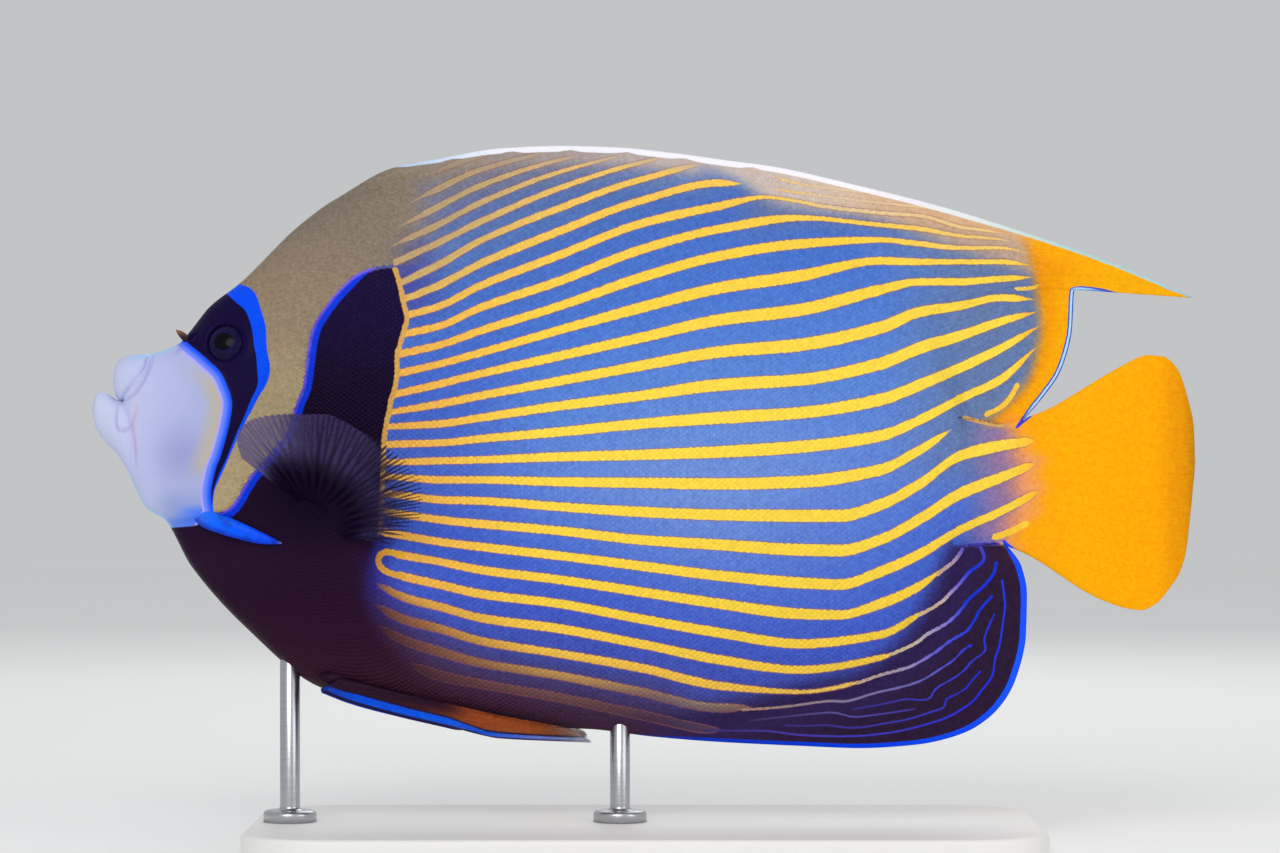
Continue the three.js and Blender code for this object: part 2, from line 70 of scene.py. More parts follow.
HALF_WIDTH = [
    (9, 4.2), (12, 6.6), (20, 9.4), (30, 12.4), (40, 15), (54, 17.8), (75, 20.3), (98, 21), (125, 20.6),
    (152, 19.2), (180, 17), (207, 14.2), (232, 11.3), (246, 9.4), (256, 7.8), (264, 6.4), (272, 4.6),
    (280, 2.6), (290, 0.9), (300, 0),
]
UPPER_LIP = {
    "top": [
        (5.8, 32.8), (6, 34.8), (6.6, 36.6), (8, 37.9), (10, 38.7), (12.5, 39.1), (15.6, 39.3), (17.4, 39),
    ],
    "bottom": [
        (5.8, 29.8), (6, 27.8), (6.6, 26.2), (8, 25.1), (10.8, 26.8), (13.6, 30), (15.9, 34.2), (17.4, 38.4),
    ],
    "half": [(5.8, 1.8), (6, 3.2), (6.6, 4.6), (8, 5.8), (11, 6.8), (13.5, 6.9), (17.4, 5)],
}
LOWER_LIP = {
    "top": [
        (-0.5, 24.6), (-0.1, 26.3), (0.6, 27.4), (1.7, 28), (3, 27.8), (4.6, 26.9), (6.5, 25.6), (9.5, 25.2),
        (13, 23.6),
    ],
    "bottom": [(-0.5, 20.5), (0, 18.2), (1.2, 15.6), (3.3, 12.6), (6.5, 9.4), (10, 4), (13, -2.2)],
    "half": [(-0.5, 1.5), (0, 3.1), (1.2, 4.3), (3.3, 5.2), (6.5, 6.1), (10, 6.5), (13, 5.6)],
}
# Folds round the mouth, as (depth, points)
FOLDS = [
    (0.32, [(17.6, 38.6), (16.2, 34.4), (14, 30), (11.2, 26.6), (8.2, 24.9)]),
    (0.3, [(6.9, 24.4), (6.5, 20), (6.9, 16.9), (9.4, 16.3), (11.3, 19), (12.8, 23)]),
    (0.26, [(11.6, 21), (11.4, 17), (12.2, 11), (12.4, 6)]),
    (0.16, [(13, 31), (10.4, 29.4), (8.2, 27)]),
]
EYE = {"x": 40.0, "z": 42.5, "radius": 6.2, "depth": 4.2, "sunk": 2.7}
NOSTRILS = [(25.5, 2.2), (29.5, 3.4)]
NOSTRIL_FLAP = (28.2, 43.3)

# The fins' guide rays, as (root x, root z, tip x, tip z, bow)
SPINY_DORSAL = [
    (87, 88, 89, 95, 0), (103, 90, 104, 98, 0), (119, 90.5, 122, 101, 0), (135, 91, 140, 101.7, 0),
    (151, 90.5, 157, 101.2, 0), (167, 88.5, 174, 99.5, 0), (184, 86, 190, 97.3, 0),
    (199.5, 80, 203.5, 95.5, 0),
]
SOFT_DORSAL = [
    (212, 74, 228, 90, 0.5), (223, 67, 252, 84, 1.5), (232, 61, 275, 77, 3), (239, 56, 303, 67.5, 5.5),
    (244, 51, 330, 56, 9), (247, 46, 294, 58.5, 4), (249.5, 41.5, 293, 46, 2.5), (252, 36, 289.8, 34.5, 1),
    (255, 29, 284.3, 26.2, 0.3), (258, 20.3, 276.4, 17.1, 0),
]
ANAL = [
    (163.5, -69, 167, -75.5), (178.5, -67, 185, -77), (194, -63, 211, -78.3), (210, -58.5, 229.5, -79),
    (223, -54.5, 246, -78), (233, -49, 261, -74.3), (240, -42.5, 271.5, -66.5), (245, -35.5, 276.5, -57.5),
    (249, -29, 279.3, -45), (252.5, -23.5, 279.6, -33), (255.5, -20.5, 278, -24.6),
    (257.5, -18.8, 272.6, -16.9),
]
# Ends of the tail's rays, as (place from the lowest up, x, z)
CAUDAL_TIPS = [
    (0, 308.5, -36.9), (0.25, 313.5, -37.7), (0.6, 318, -35.9), (1, 322, -31.5), (1.5, 325.4, -26.3),
    (2, 327.2, -20.5), (3, 328.4, -11), (4, 329.3, -2), (5, 330, 7), (6, 329.6, 17.5), (7, 327, 29),
    (7.35, 325.2, 34), (7.65, 321.8, 37.9), (7.85, 317.5, 39.4), (8, 312.5, 38.1),
]
CAUDAL_RAYS = 17
STEM_ENDS = (258.0, 270.5)
STEM_TOP = [(258, 20.3), (262, 20), (266, 19), (270.5, 18.2)]
STEM_BOTTOM = [(257.5, -18.8), (262, -18.6), (266, -17.9), (270.5, -17.4)]

# Lines of the markings as the camera sees them, from the back down
MASK_EDGE = [
    (24, 46.5), (26.7, 43.8), (28.5, 42), (31.5, 39.6), (34.5, 36.9), (37.8, 33.6), (39.9, 29.1),
    (40.8, 26.4), (41.1, 24), (40.8, 21), (39.9, 16.5), (38.7, 12), (37.5, 8.1), (36.3, 5.1), (35.4, 1.5),
    (34.8, -2.1), (35, -5.4), (35.6, -8), (34, -10.8), (30, -12.2), (26, -12.6), (21.5, -13), (16, -13.4),
    (10, -13.4), (2, -13),
]
EYE_BAND_EDGE = [
    (37, 59.5), (40.8, 56.1), (42.9, 54.3), (44.7, 52.8), (45.9, 50.7), (46.8, 48), (47.4, 45), (47.7, 42),
    (48.3, 39), (48.6, 36), (48.9, 30.9), (48.3, 28.5), (46.8, 25.5), (45.6, 22.5), (44.4, 19.5),
    (42.9, 16.5), (41.1, 12), (39.3, 7.5), (37.2, 3), (35.6, -1.5), (35.2, -4.5), (35.2, -8), (34, -12),
]
BRIGHT_EDGE = [
    (40.5, 63.5), (43.5, 60.3), (45.9, 59.4), (47.7, 57.9), (48.9, 55.5), (49.8, 52.5), (50.7, 49.5),
    (51.3, 46.5), (51.6, 40.5), (52.2, 37.5), (52.5, 35.1), (52.2, 32.4), (51.3, 30), (49.8, 27.6),
    (48.3, 24.9), (46.8, 21.9), (45.6, 19.8), (43.3, 15), (41.4, 11), (39.5, 6.5), (37.5, 2), (35.8, -2),
    (35.2, -8), (34, -12),
]
SHOULDER_LINE = [
    (92, 66.3), (88.2, 66), (84.2, 65.4), (78.3, 63), (73.2, 58.5), (69.3, 53.7), (65.7, 48), (64.2, 42.6),
    (63.3, 35.7), (62.3, 29.1), (60.3, 24.3), (57.9, 16.8), (54.3, 11.7), (46.5, 2.4), (41.4, -6), (37, -8.4),
    (30, -10.2), (20, -11.2), (5, -11.6),
]
BORDER = [
    (88.6, 70), (89.4, 66.9), (90.6, 63), (91.8, 58.5), (92.7, 54), (93.6, 50.1), (92.7, 46.5), (91.5, 42),
    (90.6, 39), (90.6, 33.9), (90, 29.1), (88.8, 25.5), (88.2, 21.9), (87.3, 18), (86.6, 12), (86.4, 5),
    (86, -4), (85.5, -12), (84, -19), (82.5, -27), (83.5, -35), (88, -43), (93, -49.5), (101, -57),
    (115, -63.5), (136, -69), (165, -74),
]
KINK = [
    (150, 101), (165, 99), (181.5, 95.4), (192, 92.1), (201, 86.4), (210, 81), (226.5, 74.4), (243, 66.9),
    (250.5, 54), (255, 40.5), (258.6, 28.5), (260.1, 20.4), (262, 10),
]
REAR_ZONE = [
    (276, 90), (279, 80), (280.5, 75), (282.6, 66.9), (284.1, 58.5), (285.3, 49.5), (284.7, 42), (282, 31.5),
    (277.5, 25.5), (273, 21), (268, 18),
]
ANAL_ZONE = [
    (150, -72.5), (172, -71), (195, -66.9), (214.5, -62.1), (229.5, -58.5), (243, -48.9), (250.5, -38.1),
    (256, -26), (258.5, -20), (262, -16.5), (275, -15),
]

# Heights of the yellow stripes at STRIPE_X, from the topmost down
STRIPE_X = (93, 103.5, 115.5, 139.5, 163.5, 187.5, 211.5, 235.5, 247.5, 259.5, 271.5, 283.5)
FIRST_STRIPE = -3
STRIPES = [
    (89.7, 94.5, 98.7, 103.5, 106.5, 111.9, 103.8, 100.8, 99.6, 97.2, 94.2, 90.3),
    (84, 89.1, 94.5, 100.5, 104.1, 109.2, 101.1, 98.1, 96.9, 94.5, 91.5, 87.6),
    (78.3, 83.7, 89.7, 97.5, 101.7, 106.5, 98.4, 95.4, 94.2, 91.8, 88.8, 84.9),
    (73.5, 78.3, 84.6, 93.9, 99.9, 103.8, 95.7, 92.7, 91.5, 89.1, 86.1, 82.2),
    (68.1, 72.9, 78.9, 89.1, 96.6, 101.1, 93, 90, 88.8, 86.4, 83.4, 79.5),
    (61.2, 66.3, 73.2, 83.1, 91.5, 96.6, 90.3, 87.3, 86.1, 83.7, 80.7, 76.8),
    (55.8, 60, 66.3, 76.2, 85.2, 90.6, 87.6, 84.6, 83.4, 81, 78, 74.1),
    (50.7, 53.7, 59.7, 69, 78.3, 83.7, 84.9, 81.6, 80.7, 77.4, 75.6, 71.7),
    (45.3, 47.7, 53.1, 61.2, 70.5, 76.8, 80.1, 78, 76.8, 74.7, 73.6, 69.9),
    (39.6, 42, 46.2, 53.7, 62.1, 68.7, 72.3, 73.5, 72.3, 71.1, 71.1, 68.4),
    (33.9, 36.3, 39.6, 46.5, 53.1, 59.1, 62.7, 67.2, 66.9, 66.9, 66.9, 65.4),
    (27.9, 30.3, 33.3, 38.7, 44.1, 49.5, 52.5, 58.5, 60.9, 60.9, 61.8, 62.4),
    (22.5, 24.3, 26.7, 31.2, 35.7, 39.9, 42, 47.1, 51.9, 53.7, 56.1, 55.5),
    (17.7, 18.3, 20.1, 23.7, 26.7, 30, 31.5, 36.3, 41.1, 44.7, 48.9, 52.2),
    (12.3, 12.6, 13.8, 15.9, 18.3, 20.1, 21.6, 25.5, 30, 35.1, 40.8, 47.7),
    (6.9, 7.2, 7.5, 8.4, 9, 9.9, 11.4, 14.7, 19.5, 25.8, 31.5, 42.3),
    (2.1, 1.5, 1.5, 0.9, 0.6, 0.3, 0.9, 4.5, 10.5, 18, 23.1, 25.5),
    (-3.3, -4.5, -4.8, -6.6, -8.1, -9, -9.3, -6, 0.3, 8.7, 11.7, 13.5),
    (-9, -10.5, -11.7, -13.8, -16.5, -18, -19.5, -16.5, -10.2, -2.7, 2.1, 6.9),
    (-15.3, -17.1, -18.6, -21.3, -24.3, -27.3, -29.4, -26.1, -20.7, -13.5, -8.1, -1.8),
    (-21.3, -23.1, -25.5, -28.5, -32.1, -35.7, -38.7, -35.7, -30.3, -21.3, -15.9, -9.3),
    (-27.6, -30, -32.7, -35.7, -40.2, -44.4, -47.7, -45, -38.7, -29.7, -22.5, -18),
    (-33.9, -36.6, -39.9, -43.2, -47.7, -52.5, -55.5, -51.9, -46.5, -37.5, -28.5, -24),
    (-40.5, -43.2, -46.8, -50.7, -54.9, -60.3, -62.1, -57.3, -51.3, -43.5, -34.5, -30),
    (-46.8, -50.1, -53.4, -57.3, -62.1, -66.9, -65.4, -62.1, -58.5, -51, -42, -36),
    (-53.1, -57.3, -59.7, -63.9, -69, -73.5, -69.9, -65.7, -63, -57, -49.5, -43.5),
]
# Where each of these stripes starts and ends
STRIPE_ENDS = [
    (95, 124), (90, 138), (86, 148), (85, 163), (84, 174), (84, 184), (84, 196), (84, 275), (84, 278),
    (84, 282), (84, 283), (84, 283.5), (84, 284), (84, 285), (84, 285.5), (84, 284.5), (84, 258.5), (84, 282),
    (84, 282), (84, 283), (88, 256), (88, 251), (82, 243), (81.5, 233), (82, 199), (92, 190),
]
# Colours of the stripes and of the ground between them, by the stripe's number
STRIPE_HUES = [
    (-3, 184, 160, 130), (-2, 204, 174, 126), (-1, 220, 184, 120), (0, 232, 190, 114),
    (1, 242, 196, 104), (3, 250, 202, 86), (6, 253, 211, 72), (11, 255, 222, 76),
    (15, 254, 217, 72), (18, 253, 213, 70), (19, 252, 208, 74), (20, 250, 200, 80),
    (21, 238, 186, 94), (22, 186, 142, 98), (23, 112, 84, 72),
]
GROUND_HUES = [
    (-3, 130, 122, 132), (-1, 112, 118, 150), (0, 100, 116, 162), (1, 92, 116, 172),
    (2.5, 84, 116, 182), (4, 74, 112, 194), (7, 76, 120, 208), (10, 90, 134, 214),
    (13, 98, 134, 216), (16, 74, 108, 208), (18, 68, 94, 202), (20, 68, 84, 180),
    (21.5, 72, 74, 146), (22.5, 66, 52, 96), (23.5, 60, 34, 56),
]
# Bends of single stripes between these places, as (stripe, x, height)
STRIPE_BENDS = [
    (4, 201, 86.3), (4, 217.5, 83.7), (14, 223.5, -9.3), (15, 223.5, -19.7), (16, 223.5, -29.9),
    (17, 223.5, -39),
]
VIOLET, FIN_BLUE = (78, 70, 186), (18, 52, 208)
# Short lines on the fins, the tail stem and the belly, as (half width, colours along it, points)
FIN_LINES = [
    (0.55, [(0, 250, 206, 90), (1, 250, 190, 60)], [(276, 58.8), (280, 58.9), (283, 59.6)]),
    (0.75, [(0, 252, 202, 66)], [(267, 21), (271.5, 23.1), (274.5, 26.1), (276.9, 30.3)]),
    (0.6, [(0, 216, 170, 100)], [(260.4, 20.4), (265.5, 18.9), (272.4, 17.7)]),
    (0.95, [(0, 253, 205, 62)], [(269.4, -15.9), (274.5, -14.1), (279.9, -11.4)]),
    (0.3, [(0, *VIOLET)], [(260.4, -18.3), (265.8, -17.6), (271.7, -17.8)]),
    (0.55, [(0, 232, 190, 130), (0.5, 190, 160, 184), (1, 100, 84, 206)], [
        (252.5, -27.2), (254.4, -25.5), (257.4, -23.2), (259.1, -21.1), (260.4, -18.9),
    ]),
    (0.5, [
        (0, 220, 190, 140), (0.2, 196, 172, 176), (0.4, 120, 106, 220), (0.6, *FIN_BLUE), (1, *VIOLET),
    ], [
        (247, -39.3), (253.6, -35.4), (256.6, -32.4), (259.5, -29.5), (262.4, -26.1), (265.8, -23.6),
        (266.7, -21.5), (265.4, -18.1),
    ]),
    (0.5, [
        (0, 214, 190, 140), (0.2, 190, 176, 176), (0.4, 120, 112, 214), (0.6, *FIN_BLUE),
        (1, *FIN_BLUE),
    ], [
        (238.5, -51), (246, -47.6), (249.8, -44.7), (255.3, -41.7), (259.1, -38.3), (262.4, -34.1),
        (266.7, -30.3), (269.6, -26.6), (270.4, -23.2),
    ]),
    (0.46, [
        (0, 206, 172, 140), (0.2, 160, 146, 180), (0.45, 96, 88, 208), (0.75, *FIN_BLUE),
        (1, *FIN_BLUE),
    ], [
        (228, -59.7), (235.5, -57.1), (243.9, -54.8), (248.1, -52.7), (252.3, -50.1), (256.6, -46.8),
        (261.6, -43.8), (264.1, -40), (265.8, -37.1), (269.2, -33.3),
    ]),
    (0.36, [(0, 176, 136, 112), (0.2, 140, 124, 140), (0.6, 100, 94, 180), (1, 36, 48, 206)], [
        (193, -67.6), (206.8, -66.6), (219.4, -64.9), (225.7, -64.9), (234.1, -62.4), (241.8, -60.7),
        (248.1, -58.6), (253.6, -55.2), (257.4, -52.7), (260.8, -49.3), (263.1, -48),
    ]),
    (0.3, [(0, 56, 46, 130), (0.4, 60, 60, 200), (1, 30, 50, 214)], [
        (227, -67.4), (236.2, -65.8), (243.1, -64.3), (249.8, -64.4), (252.3, -61.1), (257.4, -58.1),
        (260.8, -55.6), (262.9, -53.1), (267.1, -49.7), (266.7, -46.3), (268.3, -42.1), (270, -38.3),
    ]),
    (0.26, [(0, 66, 52, 100), (0.5, 92, 82, 150), (1, 64, 54, 160)], [
        (195.8, -70.8), (206.8, -69.6), (215.2, -68.7), (221.5, -68.3), (227.8, -69.6), (236.2, -68.7),
        (246.4, -67.2),
    ]),
    (0.28, [(0, 60, 48, 120), (0.5, 60, 56, 180), (1, 34, 44, 206)], [
        (206, -72.1), (213.1, -72.3), (219.4, -72.1), (227.8, -72.9), (236.2, -71.7), (243.9, -70.3),
        (250.7, -68.2), (254.9, -66.6), (255.3, -64.4), (260.8, -61.5), (262.9, -59), (266, -55.5),
    ]),
    (0.3, [(0, 60, 48, 110), (0.2, 70, 58, 170), (0.6, 36, 46, 220), (1, 30, 60, 232)], [
        (181.5, -73.8), (192, -73.8), (202.6, -73.9), (211, -75), (227.8, -75.4), (240.5, -74),
        (250.2, -71.6), (256.6, -69.3), (262.9, -65.3), (265.8, -61.9), (269.2, -57.3), (270, -52.2),
        (271.4, -48), (272.6, -39.6), (273, -35.8), (272.1, -28.2),
    ]),
    (0.95, [(0, 240, 182, 58), (0.5, 200, 138, 62), (1, 228, 168, 62)], [
        (93, -21.4), (88.4, -20.2), (86, -20.6), (85, -22.7), (85.9, -24.9), (88.3, -26.4), (93, -27.8),
    ]),
]

# The pectoral fin's guide rays, as (root x, root z, tip x, tip z), and how far each stands off the flank
PECTORAL = [
    (61.5, -5, 43.8, 8.2), (62.5, -4, 42.4, 14.2), (63.5, -4.5, 47, 19.8), (65, -5, 58, 21.4),
    (66, -5.5, 68.8, 21.4), (67, -6.5, 79.5, 16.5), (68.5, -7.5, 89, 11.2), (69.5, -9.5, 96, 5.2),
    (71, -11.5, 99.8, -2.6), (72, -13.5, 98.2, -10), (73, -16, 89, -18.7),
]
PECTORAL_REACH = [23, 28, 32, 34, 35, 34, 31, 27, 23, 18, 13]
PECTORAL_RAYS = 17
# The pelvic fin's guide rays, as (root x, root z, tip x, tip z), its front edge and its knob at the root
PELVIC = [
    (68, -60.5, 149, -77.2), (70, -59.5, 147.5, -74.4), (71.5, -58.5, 140, -71.8), (74, -57.5, 122, -69),
]
PELVIC_EDGE = [
    (68, -60.9), (76.5, -64.4), (91.5, -68.6), (106.5, -72.3), (114, -74.4), (121.5, -75.9), (139.5, -76.8),
    (149.1, -77.2),
]
PELVIC_RAYS = 6
PELVIC_KNOB = {"x": 72, "z": -57.5, "radii": (4.6, 2.6, 2.0)}
# The cheek spine as (x, z, half height, half thickness)
CHEEK_SPINE = [
    (29.5, -8.4, 1.6, 0.8), (32.5, -9.2, 2.4, 1.2), (36, -10.2, 2.8, 1.5), (40, -11.5, 2.8, 1.6),
    (45, -13.2, 2.5, 1.5), (50, -15, 2, 1.2), (54.5, -16.3, 1.1, 0.8), (57.5, -17, 0.25, 0.25),
]
# The stand
BASE = {"length": 236, "depth": 118, "height": 8, "corner": 24, "bevel": 1.6}
ROD = {"radius": 3, "foot": 8, "foot_height": 3.5, "sunk": 4}
ROD_PLACES = {"front": 58.5, "rear": 157.5}


def along(pairs, x):
    """Smooth height of a list of (x, value) pairs at x, with no overshoot between them."""
    at, value = np.array([pair[:2] for pair in pairs], float).T
    x = np.clip(np.asarray(x, float), at[0], at[-1])
    slope = np.diff(value) / np.diff(at)
    product = slope[:-1] * slope[1:]
    total = np.where(product > 0, slope[:-1] + slope[1:], 1)
    inner = np.where(product > 0, 2 * product / total, 0)
    tangent = np.concatenate([slope[:1], inner, slope[-1:]])
    i = np.clip(np.searchsorted(at, x, side="right") - 1, 0, len(at) - 2)
    width = at[i + 1] - at[i]
    t = (x - at[i]) / width
    rise = 3 * t**2 - 2 * t**3
    return (
        (1 - rise) * value[i] + rise * value[i + 1]
        + width * ((t**3 - 2 * t**2 + t) * tangent[i] + (t**3 - t**2) * tangent[i + 1])
    )


def ramp(low, high, value):
    """0 below low and 1 above high, with a smooth turn at both."""
    t = np.clip((np.asarray(value, float) - low) / (high - low), 0, 1)
    return t * t * (3 - 2 * t)


def half_of(top, bottom, half, middle, x, z):
    """Half the width of a rounded form at x and height z."""
    edge = np.where(z > middle, along(top, x), along(bottom, x))
    s = np.clip(np.abs((z - middle) / (edge - middle)), 0, 1)
    fullness = 0.5 + 0.14 * ramp(5, 80, x)
    return along(half, x) * (1 - s**2.2) ** fullness


def body_half(x, z):
    return half_of(BACK, BELLY, HALF_WIDTH, along(MIDDLE, x), x, z)


def smooth_line(points, steps=5):
    """The points joined by a smooth curve that passes through each."""
    points = np.array(points, float)
    ends = np.vstack([2 * points[0] - points[1], points, 2 * points[-1] - points[-2]])
    curve = []
    for a, b, c, d in zip(ends[:-3], ends[1:-2], ends[2:-1], ends[3:]):
        square, cube = 2 * a - 5 * b + 4 * c - d, 3 * b - a - 3 * c + d
        curve += [0.5 * (2 * b + (c - a) * t + square * t**2 + cube * t**3) for t in np.arange(steps) / steps]
    return np.array(curve + [points[-1]])


def nearest_on(line, x, z):
    """Distance from a line, positive on the right of its run, and the share of it passed there."""
    signed = np.full(x.shape, 1e6)
    place = np.zeros(x.shape)
    for i, (start, end) in enumerate(zip(line[:-1], line[1:])):
        run = end - start
        t = np.clip(((x - start[0]) * run[0] + (z - start[1]) * run[1]) / (run @ run), 0, 1)
        away_x, away_z = x - start[0] - t * run[0], z - start[1] - t * run[1]
        distance = np.hypot(away_x, away_z)
        side = np.where(away_x * run[1] - away_z * run[0] >= 0, 1.0, -1.0)
        closer = distance < np.abs(signed)
        signed = np.where(closer, side * distance, signed)
        place = np.where(closer, (i + t) / (len(line) - 1), place)
    return signed, place


def behind(line, x, z):
    """Distance from a marking's line, positive behind it."""
    return -nearest_on(smooth_line(line, 3), x, z)[0]


def linear(colour):
    """A colour of 0 to 255 as the light that it stands for."""
    c = np.asarray(colour, float) / 255
    return np.where(c <= 0.04045, c / 12.92, ((c + 0.055) / 1.055) ** 2.4)


def blend(first, second, amount):
    """Colours mixed point by point."""
    return first + (np.asarray(second, float) - first) * np.asarray(amount)[..., None]

def layered(colour, *layers):
    """A colour with other colours laid over it in turn, each given as (colour, amount)."""
    for over, amount in layers:
        colour = blend(colour, over, amount)
    return colour


def hues(stops, value):
    """Colours of 0 to 255 that change along a list of (value, red, green, blue) stops."""
    at, *channels = zip(*stops)
    return np.stack([np.interp(value, at, channel) for channel in channels], axis=-1)


def as_seen(points):
    """Where points of the left side appear on the fish's middle plane, seen by the camera."""
    x, y, z = points.T
    scale = CAMERA_DISTANCE / (CAMERA_DISTANCE - np.abs(y))
    return VIEW_CENTRE[0] + (x - VIEW_CENTRE[0]) * scale, VIEW_CENTRE[1] + (z - VIEW_CENTRE[1]) * scale


def row_frame(points):
    return (np.asarray(points, float) + FISH_ORIGIN) * 0.001


# The skin's grid. Each column runs from the lower edge, up the lower fin ray, the body and the upper
# fin ray. A column's number counts rays: -24 at the lips, -12 before the fins, 0 to 22 over the anal fin.
LIPS, NAPE, LAST = -24, -12, 22
ROWS = 152
BODY_ROWS = 5 * CAUDAL_RAYS + 1
RIM = (0.12, 0.4)
BELOW_BODY = (ROWS - BODY_ROWS) // 2
ABOVE_BODY = BELOW_BODY + BODY_ROWS
# x of the grid's first column and of the last one without fins, and how far apart the next ones start below
MOUTH_X, NAPE_X, BELLY_PITCH = 9, 71, 7.71
# How deep the fins' roots lie in the body
ROOT_DEPTH = 2
# Half the thickness of the upright fins at their roots and at their edges
ROOT_HALF, EDGE_HALF = 2.1, 0.3


def fin_lines(number):
    """Lower tip, lower root, upper root and upper tip of each column, as (x, z), and the bow."""
    x = MOUTH_X + (np.clip(number, LIPS, NAPE) - LIPS) / (NAPE - LIPS) * (NAPE_X - MOUTH_X)
    back, belly = along(BACK, x), along(BELLY, x)
    nape_z = float(along(BACK, NAPE_X))
    upper = np.array([(NAPE_X, nape_z - ROOT_DEPTH, NAPE_X, nape_z, 0)] + SPINY_DORSAL + SOFT_DORSAL)
    upper_at = [NAPE, -10, -8, -6, -4, -2, 0, 1.5, 3] + [3 + 1.9 * k for k in range(1, 11)]
    lower_x = [NAPE_X + BELLY_PITCH * k for k in range(11)]
    flat = [(at, float(along(BELLY, at)) + ROOT_DEPTH, at, float(along(BELLY, at))) for at in lower_x]
    lower = np.array(flat + ANAL)
    lower_at = [NAPE + k for k in range(11)] + [2 * k for k in range(12)]
    front = number < NAPE

    def pick(table, at, column, plain):
        return np.where(front, plain, along(list(zip(at, table[:, column])), number))

    upper_root = pick(upper, upper_at, 0, x), pick(upper, upper_at, 1, back - ROOT_DEPTH)
    upper_tip = pick(upper, upper_at, 2, x), pick(upper, upper_at, 3, back)
    lower_root = pick(lower, lower_at, 0, x), pick(lower, lower_at, 1, belly + ROOT_DEPTH)
    lower_tip = pick(lower, lower_at, 2, x), pick(lower, lower_at, 3, belly)
    return lower_tip, lower_root, upper_root, upper_tip, pick(upper, upper_at, 4, 0)


def body_shares():
    """How far up the body each of its rows lies where the tail stem begins, closer at both edges."""
    share = np.linspace(0, 1, BODY_ROWS)
    step = share[1]
    share[1], share[2] = 0.15 * step, 0.9 * step
    share[-2], share[-3] = 1 - 0.15 * step, 1 - 0.9 * step
    return share


def row_places(lengths, settle):
    """Distances of a column's rows along it, which settle from even spacing to the stem's rows."""
    def up_to(length):
        return [length - RIM[0], length]

    total = sum(lengths)
    even = np.concatenate([[0, RIM[0]], np.linspace(RIM[1], total - RIM[1], ROWS - 4), up_to(total)])
    low = np.concatenate([[0, RIM[0]], np.linspace(RIM[1], lengths[0], BELOW_BODY - 1)[:-1]])
    high = np.concatenate([np.linspace(0, lengths[2] - RIM[1], ROWS - ABOVE_BODY)[2:], up_to(lengths[2])])
    stem = np.concatenate([low, lengths[0] + body_shares() * lengths[1], lengths[0] + lengths[1] + high])
    return (1 - settle) * even + settle * stem


def plate(reach, root_half, edge_half):
    """Half the thickness of a fin from its root to its edge."""
    return root_half + (edge_half - root_half) * np.clip(reach, 0, 1) ** 0.6


def skin_columns():
    """x, z and place along the column (-1 lower tip, 0 and 1 the body's edges, 2 upper tip) of the grid."""
    numbers = np.concatenate([
        [LIPS, LIPS + 0.01], np.linspace(LIPS, NAPE, 93)[1:-1], np.linspace(NAPE, 0, 61)[:-1],
        np.linspace(0, LAST, 5 * LAST + 1)[:-1], [LAST - 0.08, LAST - 0.03, LAST],
    ])
    lower_tip, lower_root, upper_root, upper_tip, bow = fin_lines(numbers)
    x, z, place = (np.zeros((len(numbers), ROWS)) for _ in range(3))
    reach = np.linspace(0, 1, 25)
    for i, number in enumerate(numbers):
        corner = [np.array([p[0][i], p[1][i]]) for p in (lower_tip, lower_root, upper_root, upper_tip)]
        ray = corner[2] + (corner[3] - corner[2]) * reach[:, None]
        ray[:, 1] += 4 * reach * (1 - reach) * bow[i]
        path = np.vstack([corner[0], corner[1], ray])
        where = np.concatenate([[-1, 0], 1 + reach])
        travel = np.concatenate([[0], np.cumsum(np.hypot(*np.diff(path, axis=0).T))])
        lengths = travel[1], travel[2] - travel[1], travel[-1] - travel[2]
        rows = row_places(lengths, ramp(3, 10, number))
        x[i], z[i] = np.interp(rows, travel, path[:, 0]), np.interp(rows, travel, path[:, 1])
        place[i] = np.interp(rows, travel, where)
    corner = np.exp(-((place - 1) / 0.12) ** 2) + np.exp(-(place / 0.12) ** 2)
    corner *= (ramp(5, 10, numbers) * (1 - ramp(20, 21.6, numbers)))[:, None]
    return numbers, settled(x, corner, 6), settled(z, corner, 6), place


def tail_columns():
    """x, z and reach (0 on the stem, 0 to 1 along the rays) of the tail's grid."""
    share = body_shares()
    stem_x = np.linspace(*STEM_ENDS, 13)
    bottom, top = along(STEM_BOTTOM, stem_x), along(STEM_TOP, stem_x)
    stem_z = bottom[:, None] + (top - bottom)[:, None] * share
    tips = [along([(tip[0], tip[c]) for tip in CAUDAL_TIPS], 8 * share) for c in (1, 2)]
    # The row whose length stands for them all where the rims are spaced
    central = 40
    length = float(np.hypot(tips[0][central] - STEM_ENDS[1], tips[1][central] - stem_z[-1, central]))
    reach = np.concatenate([np.linspace(0, 1 - RIM[1] / length, 56)[1:], [1 - RIM[0] / length, 1]])
    fan_x = STEM_ENDS[1] + (tips[0] - STEM_ENDS[1]) * reach[:, None]
    fan_z = stem_z[-1] + (tips[1] - stem_z[-1]) * reach[:, None]
    sag, sway = np.sin(np.pi * reach)[:, None], np.sin(2 * np.pi * reach)[:, None]
    fan_z += 1.1 * sway * ramp(0.2, 0, share) - (2.3 * sag + 0.8 * sway) * ramp(0.7, 1, share)
    x = np.vstack([np.repeat(stem_x[:, None], BODY_ROWS, axis=1), fan_x])
    z = np.vstack([stem_z, fan_z])
    return x, z, np.concatenate([np.zeros(len(stem_x)), reach]), share


def settled(half, weight, rounds):
    """Half widths averaged with their neighbours, where weight says so, which fills sharp corners."""
    for _ in range(rounds):
        mean = half.copy()
        mean[1:-1, 1:-1] = (half[:-2, 1:-1] + half[2:, 1:-1] + half[1:-1, :-2] + half[1:-1, 2:]) / 4
        half = half + weight * (mean - half)
    return half


